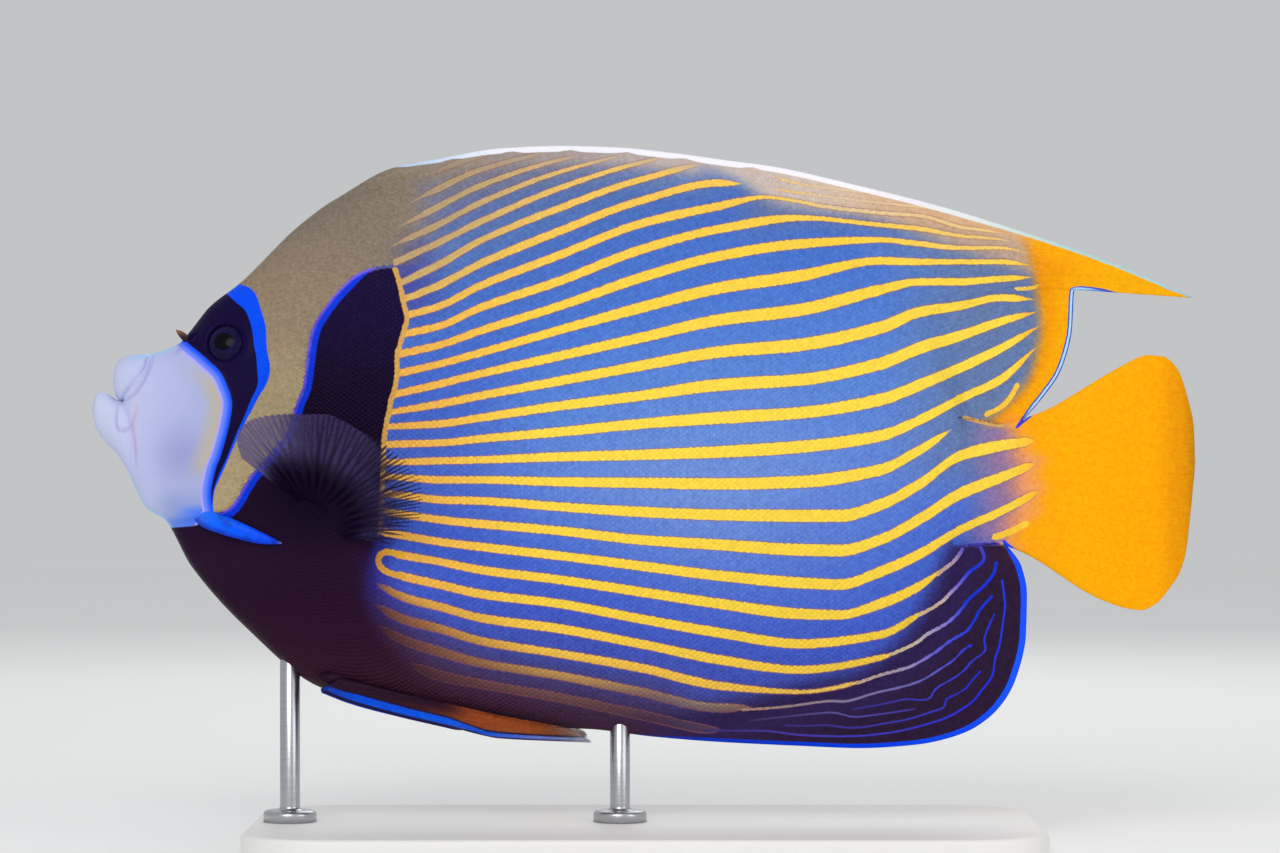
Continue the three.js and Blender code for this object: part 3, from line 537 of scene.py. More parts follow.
def ray_ridge(count):
    """The raised line of each ray, where count is a whole number on it."""
    return (0.5 + 0.5 * np.cos(2 * np.pi * count)) ** 2


def folds_at(x, z):
    """Depth of the folds round the mouth."""
    depth = np.zeros(x.shape)
    for deep, line in FOLDS:
        distance, place = nearest_on(smooth_line(line), x, z)
        ends = np.sin(np.pi * np.clip(place, 0.04, 0.96)) ** 0.4
        depth = np.maximum(depth, deep * np.exp(-(distance / 0.42) ** 2) * ends)
    return depth


def from_outline(x, z):
    """Height between a place and the nearer of back and belly."""
    return np.minimum(np.abs(z - along(BACK, x)), np.abs(z - along(BELLY, x)))


def head_relief(x, z):
    """Gill cover, cheek plate, socket, nostrils and folds, as heights over the plain flank."""
    seen_x, seen_z = as_seen(np.stack([x, -body_half(x, z), z], axis=-1).reshape(-1, 3))
    seen_x, seen_z = seen_x.reshape(x.shape), seen_z.reshape(x.shape)
    gill = behind(SHOULDER_LINE, seen_x, seen_z)
    level = ramp(-16, -9, z) * (1 - ramp(46, 62, z))
    relief = level * np.where(gill < 0, 0.75 * np.exp(gill / 9), -0.25 * np.exp(-gill / 2.5))
    cheek = behind(MASK_EDGE, seen_x, seen_z)
    cheek_edge = np.where(cheek < 0, 0.45 * np.exp(cheek / 6), 0) * ramp(-14, -9, z)
    relief += cheek_edge * (1 - ramp(34, 44, z)) * ramp(20, 30, x)
    from_eye = np.hypot(x - EYE["x"], z - EYE["z"])
    relief += 0.3 * np.exp(-((from_eye - EYE["radius"] - 0.8) / 1.3) ** 2)
    relief -= 2.4 * (1 - ramp(EYE["radius"] - 1.7, EYE["radius"] - 0.6, from_eye))
    for spot_x, below in NOSTRILS:
        from_spot = np.hypot(x - spot_x, z - along(BACK, spot_x) + below)
        relief += 0.5 * np.exp(-((from_spot - 1.3) / 0.6) ** 2) - 1.3 * np.exp(-(from_spot / 0.75) ** 2)
    relief -= folds_at(x, z)
    return relief * (x < HEAD_END)


def trunk_half(numbers, x, z, place):
    """Half the thickness of the trunk and its fins over their grid."""
    column = numbers[:, None]
    upper, lower = np.clip(place - 1, 0, 1), np.clip(-place, 0, 1)
    dorsal_grows, anal_grows = ramp(NAPE, -10, column), ramp(-1, 0.5, column)
    ridge = 0.3 * ray_ridge(column)
    upper_fin = plate(upper, ROOT_HALF, EDGE_HALF) * dorsal_grows
    upper_fin += ridge * ramp(0.05, 0.35, upper) * (1 - 0.5 * upper) * dorsal_grows
    lower_fin = plate(lower, ROOT_HALF, EDGE_HALF) * anal_grows
    lower_fin += ridge * ramp(0.05, 0.3, lower) * (1 - 0.5 * lower) * anal_grows
    half = (body_half(x, z) ** 3 + np.where(place > 0.5, upper_fin, lower_fin) ** 3) ** (1 / 3)
    half = settled(half, np.exp(-(from_outline(x, z) / 4) ** 2) * (column > NAPE), 14)
    half += head_relief(x, z) * ramp(0, 2.5, half)
    half[:, [1, -2]] *= np.where(column > NAPE, 0.7, 1)
    for rows in (slice(0, BELOW_BODY), slice(ABOVE_BODY, ROWS)):
        half[-3:, rows] *= np.array([0.97, 0.7, 0])[:, None]
    half[:, [0, -1]] = 0
    half[0] = 0
    return half


def tail_half(x, z, reach, share):
    """Half the thickness of the tail stem's end and the tail over their grid."""
    fin = plate(reach, 3, EDGE_HALF) * ramp(*STEM_ENDS, x[:, 0])
    rays = ray_ridge(share * CAUDAL_RAYS) * 0.22 * (ramp(0.04, 0.3, reach) * (1 - 0.55 * reach))[:, None]
    half = (body_half(x, z) ** 3 + (fin[:, None] + rays) ** 3) ** (1 / 3)
    half[:, [1, -2]] *= 0.75
    half[-2] *= 0.75
    half[:, [0, -1]] = 0
    half[-1] = 0
    return half


def sheet_quads(grid):
    """The quads of an open grid of points."""
    return np.stack([grid[:-1, :-1], grid[1:, :-1], grid[1:, 1:], grid[:-1, 1:]], axis=-1).reshape(-1, 4)


def skin_grid():
    """Left half of the skin: its points and faces, and each point's ray number, reach and place."""
    numbers, x, z, place = skin_columns()
    tail_x, tail_z, tail_reach, share = tail_columns()
    half = trunk_half(numbers, x, z, place)
    rear_half = tail_half(tail_x, tail_z, tail_reach, share)
    trunk = np.arange(x.size).reshape(x.shape)
    rear = x.size + np.arange(tail_x[1:].size).reshape(-1, BODY_ROWS)
    tail = np.vstack([trunk[-1:, BELOW_BODY:ABOVE_BODY], rear])
    corners = [
        (trunk[-1, BELOW_BODY - 1], tail[0, 0], tail[1, 0]),
        (trunk[-1, ABOVE_BODY], tail[1, -1], tail[0, -1]),
    ]
    ray_numbers = np.tile(LAST + 1 + share * CAUDAL_RAYS, len(rear))
    reach = np.maximum(np.clip(place - 1, 0, 1), np.clip(-place, 0, 1))
    return {
        "points": np.vstack([
            np.stack([x, -half, z], axis=-1).reshape(-1, 3),
            np.stack([tail_x, -rear_half, tail_z], axis=-1)[1:].reshape(-1, 3),
        ]),
        "quads": np.vstack([sheet_quads(trunk), sheet_quads(tail)]), "corners": corners,
        "count": np.concatenate([np.repeat(numbers, ROWS), ray_numbers]),
        "reach": np.concatenate([reach.ravel(), np.repeat(tail_reach[1:], BODY_ROWS)]),
        "place": np.concatenate([place.ravel(), np.full(rear.size, 0.5)]),
    }


def stripe_marks(x, z):
    """Distance from the nearest stripe's middle, its half width, the stripe's number and its presence."""
    heights = []
    for number, row in enumerate(STRIPES, FIRST_STRIPE):
        rise = (row[0] - row[1]) / (STRIPE_X[1] - STRIPE_X[0]) * 10 + 2.3 * float(ramp(17.5, 19, number))
        bends = [(at, height) for stripe, at, height in STRIPE_BENDS if stripe == number]
        heights.append(along(sorted([(STRIPE_X[0] - 10, row[0] + rise), *zip(STRIPE_X, row), *bends]), x))
    heights = np.array(heights)
    gaps = np.maximum(heights[:-1] - heights[1:], 0.5)
    plain_gap = 5.0
    number = FIRST_STRIPE - (z - heights[0]) / plain_gap
    gap = np.full(x.shape, plain_gap)
    for k, spread in enumerate(gaps):
        inside = z <= heights[k]
        number = np.where(inside, FIRST_STRIPE + k + np.minimum((heights[k] - z) / spread, 1.0), number)
        gap = np.where(inside, spread, gap)
    last = FIRST_STRIPE + len(STRIPES) - 1
    number = np.where(z < heights[-1], last + (heights[-1] - z) / gap, number)
    nearest = np.clip(np.round(number), FIRST_STRIPE, last).astype(int)
    k = nearest - FIRST_STRIPE
    offset = (number - nearest) * gap * np.where(nearest % 2 == 0, 1, -1)
    narrow = np.minimum(np.vstack([gaps[:1], gaps]), np.vstack([gaps, gaps[-1:]]))
    narrow = np.take_along_axis(narrow, k[None], 0)[0]
    starts, ends = np.array(STRIPE_ENDS, float).T
    present = ramp(-1, 3 + 12 * ramp(1.5, -1, nearest) + 5 * ramp(17, 20, nearest), x - starts[k])
    fade = 9 - 6.5 * ramp(18, 15, z) * ramp(262, 270, x)
    present = present * (1 - ramp(-fade, 0.5, x - ends[k])) ** 0.7
    thin = ramp(199, 208, x) * (1 - ramp(266, 280, x)) * ((nearest >= 0) & (nearest <= 3))
    present = np.maximum(present, 0.75 * thin)
    share = 0.183 + 0.012 * ramp(115, 95, x) - 0.012 * ramp(190, 240, x) * ramp(8, 11, number)
    return offset, share * narrow * present - 0.3 * (1 - present), number, present


def flank_ground(x, z, number, lines):
    """Colour between the stripes on the nape, the flank and the dorsal fin."""
    pale = hues([
        (60, 124, 112, 92), (92, 140, 126, 108), (116, 152, 138, 128), (145, 166, 152, 148),
        (180, 192, 176, 170), (210, 208, 190, 178), (245, 218, 186, 152), (264, 238, 186, 116),
        (276, 248, 180, 80),
    ], x)
    top_gap = lines["top_gap"]
    near_nape = ramp(107, 91, x + 0.3 * (z - 80)) * ramp(2.6, -1.6, number)
    near_edge = (0.85 * ramp(8.5, 2.2, top_gap) + 0.25 * ramp(16, 6, top_gap)) * ramp(192, 176, x)
    over_kink = ramp(-3.5, 2.5, lines["kink"]) * ramp(150, 180, x) * ramp(5.2, 3.4, number)
    by_patch = ramp(18, 2, lines["border"]) * ramp(44, 58, z) * ramp(78, 70, z)
    by_chest = ramp(8 + 14 * ramp(-20, -50, z), 0, lines["border"]) * ramp(-6, -16, z)
    chest_blue = hues([(-48, 70, 42, 72), (-30, 44, 28, 110), (-10, 40, 30, 128)], z)
    peach_from = along([(215, 86), (235, 79.6), (257, 71.3), (278, 64)], x)
    return layered(
        hues(GROUND_HUES, number),
        # Painted highlight: a lighter blue patch over the middle of the rear flank
        ((136, 164, 222), 0.46 * np.exp(-((x - 184) / 38) ** 2 - ((number - 13.5) / 3.2) ** 2)),
        ((56, 80, 188), 0.55 * ramp(144, 98, x) * ramp(4, 10, number) * ramp(18.5, 15.5, number)),
        ((106, 122, 156), 0.75 * ramp(230, 268, x) * ramp(-8, 10, z)),
        ((132, 142, 168), 0.6 * ramp(218, 258, x) * ramp(8.5, 5, number)),
        ((124, 116, 178), 0.8 * ramp(256, 274, x) * (1 - ramp(14, 22, z))),
        ((116, 124, 156), 0.8 * ramp(188, 204, x) * ramp(6, 4.2, number) * ramp(2.4, 3.4, number)),
        (pale, np.clip(np.maximum(np.maximum(near_nape, near_edge), over_kink), 0, 1)),
        ((64, 58, 152), 0.6 * by_patch),
        (chest_blue, 0.75 * by_chest),
        ((212, 170, 134), ramp(-3, 4, z - peach_from) * ramp(222, 244, x) * 0.8),
    )


def ground_colours(x, z, number, lines):
    """Colour between the stripes, with the orange rear, the dark anal fin, the tail stem and the tail."""
    rear, under_anal = lines["rear"], lines["under_anal"]
    orange = hues([(276, 238, 146, 2), (290, 242, 154, 2), (302, 250, 174, 4), (325, 240, 168, 8)], x)
    orange = blend(orange, (250, 172, 6), ramp(8, 3, lines["top_gap"]) * 0.7)
    dark = hues([(200, 48, 32, 78), (262, 46, 30, 78), (276, 52, 26, 48)], x)
    dark = blend(dark, (42, 24, 52), ramp(4, 16, under_anal))
    off_stem = ramp(0.4, -0.5, z - along([(254, -5), (258, -18.4), (270.6, -18), (290, -32)], x))
    wave = 0.9 * np.cos(2 * np.pi * (number + 0.1))
    stem = x + 4 * ramp(-5, -16, z) + 2 * ramp(7, 16, z) - wave
    tail_root = stem + (3 * ramp(-5, -16, z) + 4.5 * ramp(7, 16, z))
    on_tail = ramp(23, 19, np.abs(z) - np.maximum(0, x - 274) * 0.62)
    tail = hues([
        (282, 254, 168, 6), (294, 254, 174, 0), (318, 254, 168, 0), (327, 228, 146, 2),
        (330, 190, 126, 4),
    ], x)
    return layered(
        flank_ground(x, z, number, lines),
        ((240, 154, 24), ramp(-6, 0.4, rear) ** 2 * ramp(16, 22, z)),
        (orange, ramp(-0.8, 0.6, rear) * ramp(16, 20, z)),
        (dark, ramp(-7, 2.5, under_anal) * ramp(150, 185, x) * off_stem),
        ((178, 124, 150), ramp(262, 274, stem) * ramp(20, 14, np.abs(z)) * 0.6 * (1 - off_stem)),
        ((248, 158, 98), ramp(272, 280, stem) * ramp(23, 19, np.abs(z)) * 0.9 * (1 - off_stem)),
        (tail, ramp(278.5, 288.5, tail_root) * on_tail),
    )


def stripe_colours(x, z, number, present, ground, lines):
    """Colour of the stripes along their length, which turn into the ground where they are faint."""
    by_chest = ramp(7 + 14 * ramp(-20, -50, z), 0, lines["border"]) * ramp(-18, -24, z)
    faint = 0.7 * ramp(7, 2.4, lines["top_gap"]) * ramp(196, 182, x)
    low_start = ramp(18.4, 18.8, number) * (x < 130)
    ending = 0.8 * (1 - present) * np.where(number < 10, ramp(2.5, 1, number), low_start)
    lowest = ramp(20.4, 22.5, number) * 0.35 + 0.5 * ramp(20.5, 21, number) * ramp(140, 180, x)
    return layered(
        hues(STRIPE_HUES, number),
        ((178, 154, 118), 0.9 * ramp(150, 94, x) * ramp(6, 0, number)),
        ((240, 174, 84), 0.8 * ramp(140, 92, x) * ramp(2, 6, number)),
        ((140, 92, 66), 0.9 * ramp(140, 86, x) * ramp(17.5, 21.5, number)),
        ((226, 199, 164), ramp(199, 225, x) * ramp(5.2, 3.6, number)),
        ((240, 200, 130), ramp(225, 266, x) * ramp(8, 5, number) * 0.7),
        ((222, 186, 130), ramp(-4, 5, lines["under_anal"]) * ramp(16.4, 18, number) * 0.7),
        ((254, 180, 44), 0.85 * ramp(274, 283, x)),
        ((96, 56, 58), 0.8 * by_chest),
        (ground, np.maximum(np.maximum(faint, ending), lowest)),
    )


def face_colours(x, z, mask):
    """The pale mask, with its smudge, its beige rim, its blue lower edge and a painted highlight along its
    outline.
    """
    return layered(
        hues([(0, 198, 205, 232), (11, 192, 198, 235), (20, 184, 190, 232), (32, 174, 182, 224)], x),
        ((146, 148, 204), 0.6 * np.exp(-((x - 26) / 7.5) ** 2 - ((z - 9) / 8) ** 2)),
        ((140, 156, 212), 0.6 * ramp(1, -6, z) * ramp(17, 24, x)),
        ((192, 182, 160), 0.85 * ramp(9.5, 4.2, mask) * ramp(0, 8, z) * ramp(38, 28, z)),
        ((104, 140, 240), 0.85 * ramp(4.5, 1, mask) * ramp(-3, -8, z) * ramp(15, 20, x)),
        ((72, 122, 250), 0.9 * ramp(-5, -8.6, z) * ramp(22, 31, x)),
        ((220, 192, 216), 0.4 * np.exp(-((x - 11.8) / 1.1) ** 2) * ramp(6, 14, z) * ramp(28, 24, z)),
        # Painted highlight: a pale blue rim along the face's upper and lower outline
        ((164, 212, 252), 0.7 * np.exp(-(from_outline(x, z) / 1.1) ** 2) * ramp(9, 12, x)),
    )


def chest_colours(x, z, border):
    """The dark chest and shoulder patch, with a blue glow past their edge."""
    glow = 0.3 * ramp(7, 0, -border) * ramp(-14, -22, z) * ramp(-44, -30, z)
    return layered(
        hues([
            (-75, 70, 35, 50), (-61, 62, 29, 48), (-49, 48, 18, 42), (-34, 40, 11, 38),
            (-22, 41, 13, 44), (-8, 30, 6, 38), (28, 18, 2, 36), (46, 20, 3, 50), (66, 21, 5, 55),
        ], z),
        ((17, 1, 31), 0.85 * np.exp(-((x - 66) / 17) ** 2 - ((z + 6) / 16) ** 2)),
        ((66, 36, 54), 0.85 * ramp(100, 150, x) * ramp(-40, -52, z)),
        ((40, 30, 120), np.where(border < 0, glow, 0)),
    )


def nape_laid_over(ground, x, z, shoulder):
    """The ground with the brownish nape in front of the stripes and over the shoulder patch."""
    nape = hues([
        (-10, 178, 158, 122), (30, 170, 152, 118), (48, 150, 132, 110), (62, 146, 126, 106),
        (88, 122, 112, 102),
    ], z)
    nape = blend(nape, (136, 122, 104), ramp(62, 96, x) * ramp(50, 66, z))
    over_patch = np.where(z > 62, ramp(8, -6, x - 92), 1)
    return blend(ground, nape, over_patch * np.where((shoulder < 0) | (z > 66), 1, 0))


def fin_line_marks(x, z, ground):
    """Fields of the fin lines, every other one in a set of its own, and their colour."""
    fade = 0.8
    line_gaps, line_halves = np.full((2, *x.shape), FAR), np.full((2, *x.shape), -fade)
    nearest = np.full(x.shape, FAR)
    line_colour = ground.copy()
    for k, (width, colours, points) in enumerate(FIN_LINES):
        distance, place = nearest_on(smooth_line(points, 4), x, z)
        away = np.abs(distance)
        closer = away < np.abs(line_gaps[k % 2])
        line_gaps[k % 2] = np.where(closer, distance, line_gaps[k % 2])
        own_half = (width + fade) * ramp(width + 1.2, width + 0.5, away) - fade
        own_half = np.where((place <= 0) | (place >= 1), np.minimum(own_half, width - 1.4 * away), own_half)
        line_halves[k % 2] = np.where(closer, own_half, line_halves[k % 2])
        line_colour = np.where((away < nearest)[:, None], hues(colours, place), line_colour)
        nearest = np.minimum(away, nearest)
    return {
        "odd_gap": line_gaps[0], "odd_half": line_halves[0],
        "even_gap": line_gaps[1], "even_half": line_halves[1],
    }, line_colour


def marking_fields(x, z):
    """Every field and colour that the skin's and the scales' finish is made from."""
    offset, half, number, present = stripe_marks(x, z)
    mask = -behind(MASK_EDGE, x, z)
    shoulder, border = behind(SHOULDER_LINE, x, z), behind(BORDER, x, z)
    margin, trim, margin_colour, top_gap = margin_marks(x, z)
    lines = {
        "kink": behind(KINK, x, z), "rear": behind(REAR_ZONE, x, z), "under_anal": -behind(ANAL_ZONE, x, z),
        "top_gap": top_gap, "border": border,
    }
    ground = nape_laid_over(ground_colours(x, z, number, lines), x, z, shoulder)
    patch_blur = 0.25 + 4.5 * ramp(-8, -20, z) + 9 * ramp(-20, -50, z)
    under_chin = 40 * ramp(-8.5, -11.5, z)
    line_fields, line_colour = fin_line_marks(x, z, ground)
    fields = {
        "stripe_gap": offset, "stripe_half": half, "mask": mask, "shoulder": shoulder, "border": border,
        "mask_band": mask + 3.4 * ramp(-7, -10, z) * ramp(33, 29, x),
        "eye_band": -behind(EYE_BAND_EDGE, x, z) - under_chin,
        "bright": -behind(BRIGHT_EDGE, x, z) - under_chin,
        "shoulder_width": 2.5 * (1 - ramp(77, 86, x)) - 0.5 * ramp(83, 87, x) - 3 * ramp(37, 34, x),
        "rim_half": 1.25 * ramp(-18, -12, z) - 0.5, "stripe_gate": border + 30 * ramp(-15, -22, z),
        # fold: depth of the folds round the mouth, used to paint shade into them
        "patch": np.clip(0.5 - border / patch_blur, -20, 20), "fold": folds_at(x, z) / 0.3,
        "margin": margin, "trim": trim, **line_fields,
    }
    return fields, {
        "ground": ground, "stripe": stripe_colours(x, z, number, present, ground, lines), "line": line_colour,
        "chest": chest_colours(x, z, border), "edge": margin_colour, "face": face_colours(x, z, mask),
    }


def margin_marks(x, z):
    """Distance past the fins' margin, its trim and colour, and the distance from the upper edge."""
    numbers = np.linspace(NAPE, LAST, 137)
    lower_tip, _, _, upper_tip, _ = fin_lines(numbers)
    top, top_place = nearest_on(np.stack(upper_tip, axis=1), x, z)
    low, low_place = nearest_on(np.stack(lower_tip, axis=1), x, z)
    top_number = NAPE + (LAST - NAPE) * top_place
    low_number = NAPE + (LAST - NAPE) * low_place
    top_width = along([
        (-12, -0.4), (-10.2, -0.4), (-9.4, 0.7), (-7, 1.4), (-5, 1.8), (1.5, 1.8), (3, 1.6), (7.5, 1.5),
        (8.7, 1.1), (11, 0.9), (12.3, 0.8), (12.8, -0.4), (13.5, -0.4), (13.9, 1.1), (14.6, 1.4),
        (20.6, 1.35), (22, 0.4),
    ], top_number)
    spine_tip = (0.5 + 0.5 * np.cos(np.pi * (top_number - 0.3))) ** 6
    top_width -= 0.6 * spine_tip * ramp(-9, -7, top_number) * (1 - ramp(2.6, 3.4, top_number))
    low_width = along([
        (-12, -0.4), (-2, -0.4), (0.5, 0.6), (3, 1.2), (8, 1.4), (13, 1.9), (20, 1.8), (22, 0.5),
    ], low_number)
    white = hues([
        (-9, 190, 210, 240), (-6, 240, 238, 248), (5, 246, 242, 246), (8, 226, 232, 230),
        (10, 176, 212, 206), (12.5, 170, 206, 214),
    ], top_number)
    rear = hues([(13, 40, 70, 190), (21, 22, 50, 176), (22, 70, 60, 200)], top_number)
    upper_colour = np.where((top_number > 12.8)[:, None], rear, white)
    blue = hues([(0, 14, 48, 170), (6, 2, 62, 232), (14, 24, 88, 254), (22, 20, 72, 250)], low_number)
    trim = ramp(13.7, 14.2, top_number) * (1 - ramp(20.5, 22, top_number))
    top_gap = np.abs(top)
    top, low = top_gap - top_width, np.abs(low) - low_width
    return np.minimum(top, low), trim, np.where((top < low)[:, None], upper_colour, blue), top_gap


def linked(name, data):
    """A new object in the scene, made from its data."""
    item = bpy.data.objects.new(name, data)
    bpy.context.scene.collection.objects.link(item)
    return item


def make_mesh(name, points, faces, fields=None, colours=None, unwrap=None):
    """An object from points in fish millimetres and arrays of faces, with its fields and colours."""
    mesh = bpy.data.meshes.new(name)
    faces = [np.asarray(group, int) for group in faces if len(group)]
    corners = np.concatenate([group.ravel() for group in faces])
    sizes = np.concatenate([np.full(len(group), group.shape[1]) for group in faces])
    mesh.vertices.add(len(points))
    mesh.vertices.foreach_set("co", row_frame(points).ravel())
    mesh.loops.add(len(corners))
    mesh.loops.foreach_set("vertex_index", corners)
    mesh.polygons.add(len(sizes))
    mesh.polygons.foreach_set("loop_start", np.concatenate([[0], np.cumsum(sizes)[:-1]]))
    mesh.polygons.foreach_set("use_smooth", np.ones(len(sizes), bool))
    mesh.update(calc_edges=True)
    for key, values in (fields or {}).items():
        field = mesh.attributes.new(key, "FLOAT", "POINT")
        field.data.foreach_set("value", np.asarray(values, np.float32))
    for key, values in (colours or {}).items():
        rgba = np.hstack([linear(values), np.ones((len(values), 1))])
        layer = mesh.attributes.new(key, "FLOAT_COLOR", "POINT")
        layer.data.foreach_set("color", rgba.astype(np.float32).ravel())
    if unwrap is not None:
        mesh.uv_layers.new(name="OFBake").data.foreach_set("uv", unwrap[corners].astype(np.float32).ravel())
    return linked(name, mesh)


def both_sides(points, faces):
    """Left and right halves joined where y is 0, and the left point that each point comes from."""
    count = len(points)
    off_rim = points[:, 1] <= -1e-6
    right = np.where(off_rim, count + np.cumsum(off_rim) - 1, np.arange(count))
    source = np.concatenate([np.arange(count), np.flatnonzero(off_rim)])
    joined = np.vstack([points, points[off_rim] * (1, -1, 1)])
    return joined, [side for group in faces for side in (group, right[np.asarray(group)][:, ::-1])], source


def closed_tube(rings, hubs):
    """Points, quads and end fans of a form made from rings of points, closed at each end by a hub."""
    index = np.arange(rings[..., 0].size).reshape(rings.shape[:2])
    after = np.roll(index, -1, axis=1)
    quads = np.stack([index[:-1], index[1:], after[1:], after[:-1]], axis=-1).reshape(-1, 4)
    first, last = (np.full(index.shape[1], index.size + k) for k in (0, 1))
    fans = [np.stack([first, index[0], after[0]], axis=1), np.stack([last, after[-1], index[-1]], axis=1)]
    return np.vstack([rings.reshape(-1, 3), hubs]), quads, np.vstack(fans)


def lip(form, rings=64, sides=56):
    """One lip as a closed rounded band that runs out into a low fold on the cheek."""
    start, end = form["top"][0][0], form["top"][-1][0]
    x = start + (end - start) * (np.linspace(0, 1, rings) ** 1.6)
    turn = np.linspace(0, 2 * np.pi, sides, endpoint=False)
    top, bottom = along(form["top"], x), along(form["bottom"], x)
    height = np.cos(turn)
    z = ((top + bottom) / 2)[:, None] + height * ((top - bottom) / 2)[:, None]
    wide = np.broadcast_to(x[:, None], z.shape)
    share = np.abs(height)
    own = along(form["half"], x)[:, None] * (1 - share**2.6) ** 0.5
    cheek = body_half(wide, z) + 0.5 * (1 - share**5) - 0.12
    cheek = cheek * ramp(8.6, 11, wide) - 1.2 * ramp(end - 0.5, end, wide)
    half = np.maximum(own * ramp(end, end - 2, wide), cheek)
    half -= folds_at(wide, z) * ramp(0, 2, half)
    y = np.sign(np.sin(turn)) * half * (share < 0.9999)
    band = np.stack([wide, y, z], axis=-1)
    points, quads, fans = closed_tube(band, [band[0].mean(0) - (0.4, 0, 0), band[-1].mean(0)])
    return points, [quads, fans]


def ball(radii, around, up):
    """An ellipsoid's points and faces, its poles on z."""
    turn = np.linspace(0, 2 * np.pi, around, endpoint=False)
    rise = np.linspace(-np.pi / 2, np.pi / 2, up + 1)[1:-1, None]
    height = np.broadcast_to(np.sin(rise), (up - 1, around))
    rings = np.stack([np.cos(rise) * np.cos(turn), np.cos(rise) * np.sin(turn), height], axis=-1)
    points, quads, fans = closed_tube(rings, [(0, 0, -1), (0, 0, 1)])
    return points * radii, [quads[:, [0, 3, 2, 1]], fans[:, [0, 2, 1]]]


def nostril_flap(side):
    """The small pointed flap in front of the nostril, leaning forward from the skin."""
    points, faces = ball((1.15, 0.6, 2.1), 20, 16)
    up = (points[:, 2] / 2.1 + 1) / 2
    points[:, :2] *= (1.1 - 0.3 * up)[:, None]
    points[:, 0] -= 3.3 * up**1.3
    points[:, 2] += 1.1
    foot = float(body_half(*NOSTRIL_FLAP))
    points += (NOSTRIL_FLAP[0], side * (foot - 0.2), NOSTRIL_FLAP[1])
    return points, faces


class Value:
    """A socket that sums can be written with."""

    def __init__(self, finish, socket):
        self.finish, self.socket = finish, socket

    def math(self, operation, *others):
        return self.finish.add("Math", {"operation": operation}, dict(enumerate((self, *others))))

    def __add__(self, other):
        return self.math("ADD", other)

    def __sub__(self, other):
        return self.math("SUBTRACT", other)

    def __rsub__(self, other):
        return self.math("MULTIPLY_ADD", -1.0, other)

    def __mul__(self, other):
        return self.math("MULTIPLY", other)

    def __abs__(self):
        return self.math("ABSOLUTE")

    __radd__ = __add__
    __rmul__ = __mul__

    def above(self, level, blur):
        """1 where this is over level, 0 below, with a blurred step."""
        sockets = {"Value": self, "From Min": level - blur, "From Max": level + blur}
        return self.finish.add("MapRange", {"interpolation_type": "SMOOTHSTEP"}, sockets)

    def below(self, level, blur):
        return 1 - self.above(level, blur)


class Finish:
    """A material in the making, and the one way to add a node to it."""

    def __init__(self, name, **settings):
        self.material = bpy.data.materials.new(name)
        self.material.use_nodes = True
        self.nodes = self.material.node_tree.nodes
        self.shader = self.nodes["Principled BSDF"]
        self.done(**settings)

    def feed(self, node, sockets):
        for key, value in sockets.items():
            if isinstance(value, Value):
                self.material.node_tree.links.new(value.socket, node.inputs[key])
            else:
                node.inputs[key].default_value = value

    def add(self, kind, settings, sockets, output=0):
        node = self.nodes.new("ShaderNode" + kind)
        for key, value in settings.items():
            setattr(node, key, value)
        self.feed(node, sockets)
        return Value(self, node.outputs[output])

    def field(self, name, output="Fac"):
        return self.add("Attribute", {"attribute_name": name}, {}, output)

    def mix(self, first, second, amount):
        colours = [c if isinstance(c, Value) else (*linear(c), 1) for c in (first, second)]
        return self.add("Mix", {"data_type": "RGBA"}, {0: amount, 6: colours[0], 7: colours[1]}, 2)

    def grained(self, colour, grain, amount):
        """A colour with a fine grain of lighter and darker spots in it."""
        tone = self.mix((0, 0, 0), (255, 255, 255), grain)
        settings = {"data_type": "RGBA", "blend_type": "SOFT_LIGHT"}
        return self.add("Mix", settings, {0: amount, 6: colour, 7: tone}, 2)

    def noise(self, scale, detail=2.0):
        place = self.add("TexCoord", {}, {}, "Object")
        return self.add("TexNoise", {}, {"Vector": place, "Scale": scale, "Detail": detail})

    def bump(self, height, strength, distance):
        return self.add("Bump", {}, {"Height": height, "Strength": strength, "Distance": distance})

    def done(self, **sockets):
        """The finished material, with these values and links in the shader."""
        named = {key.replace("_", " ").title().replace("Ior", "IOR"): value for key, value in sockets.items()}
        self.feed(self.shader, named)
        return self.material


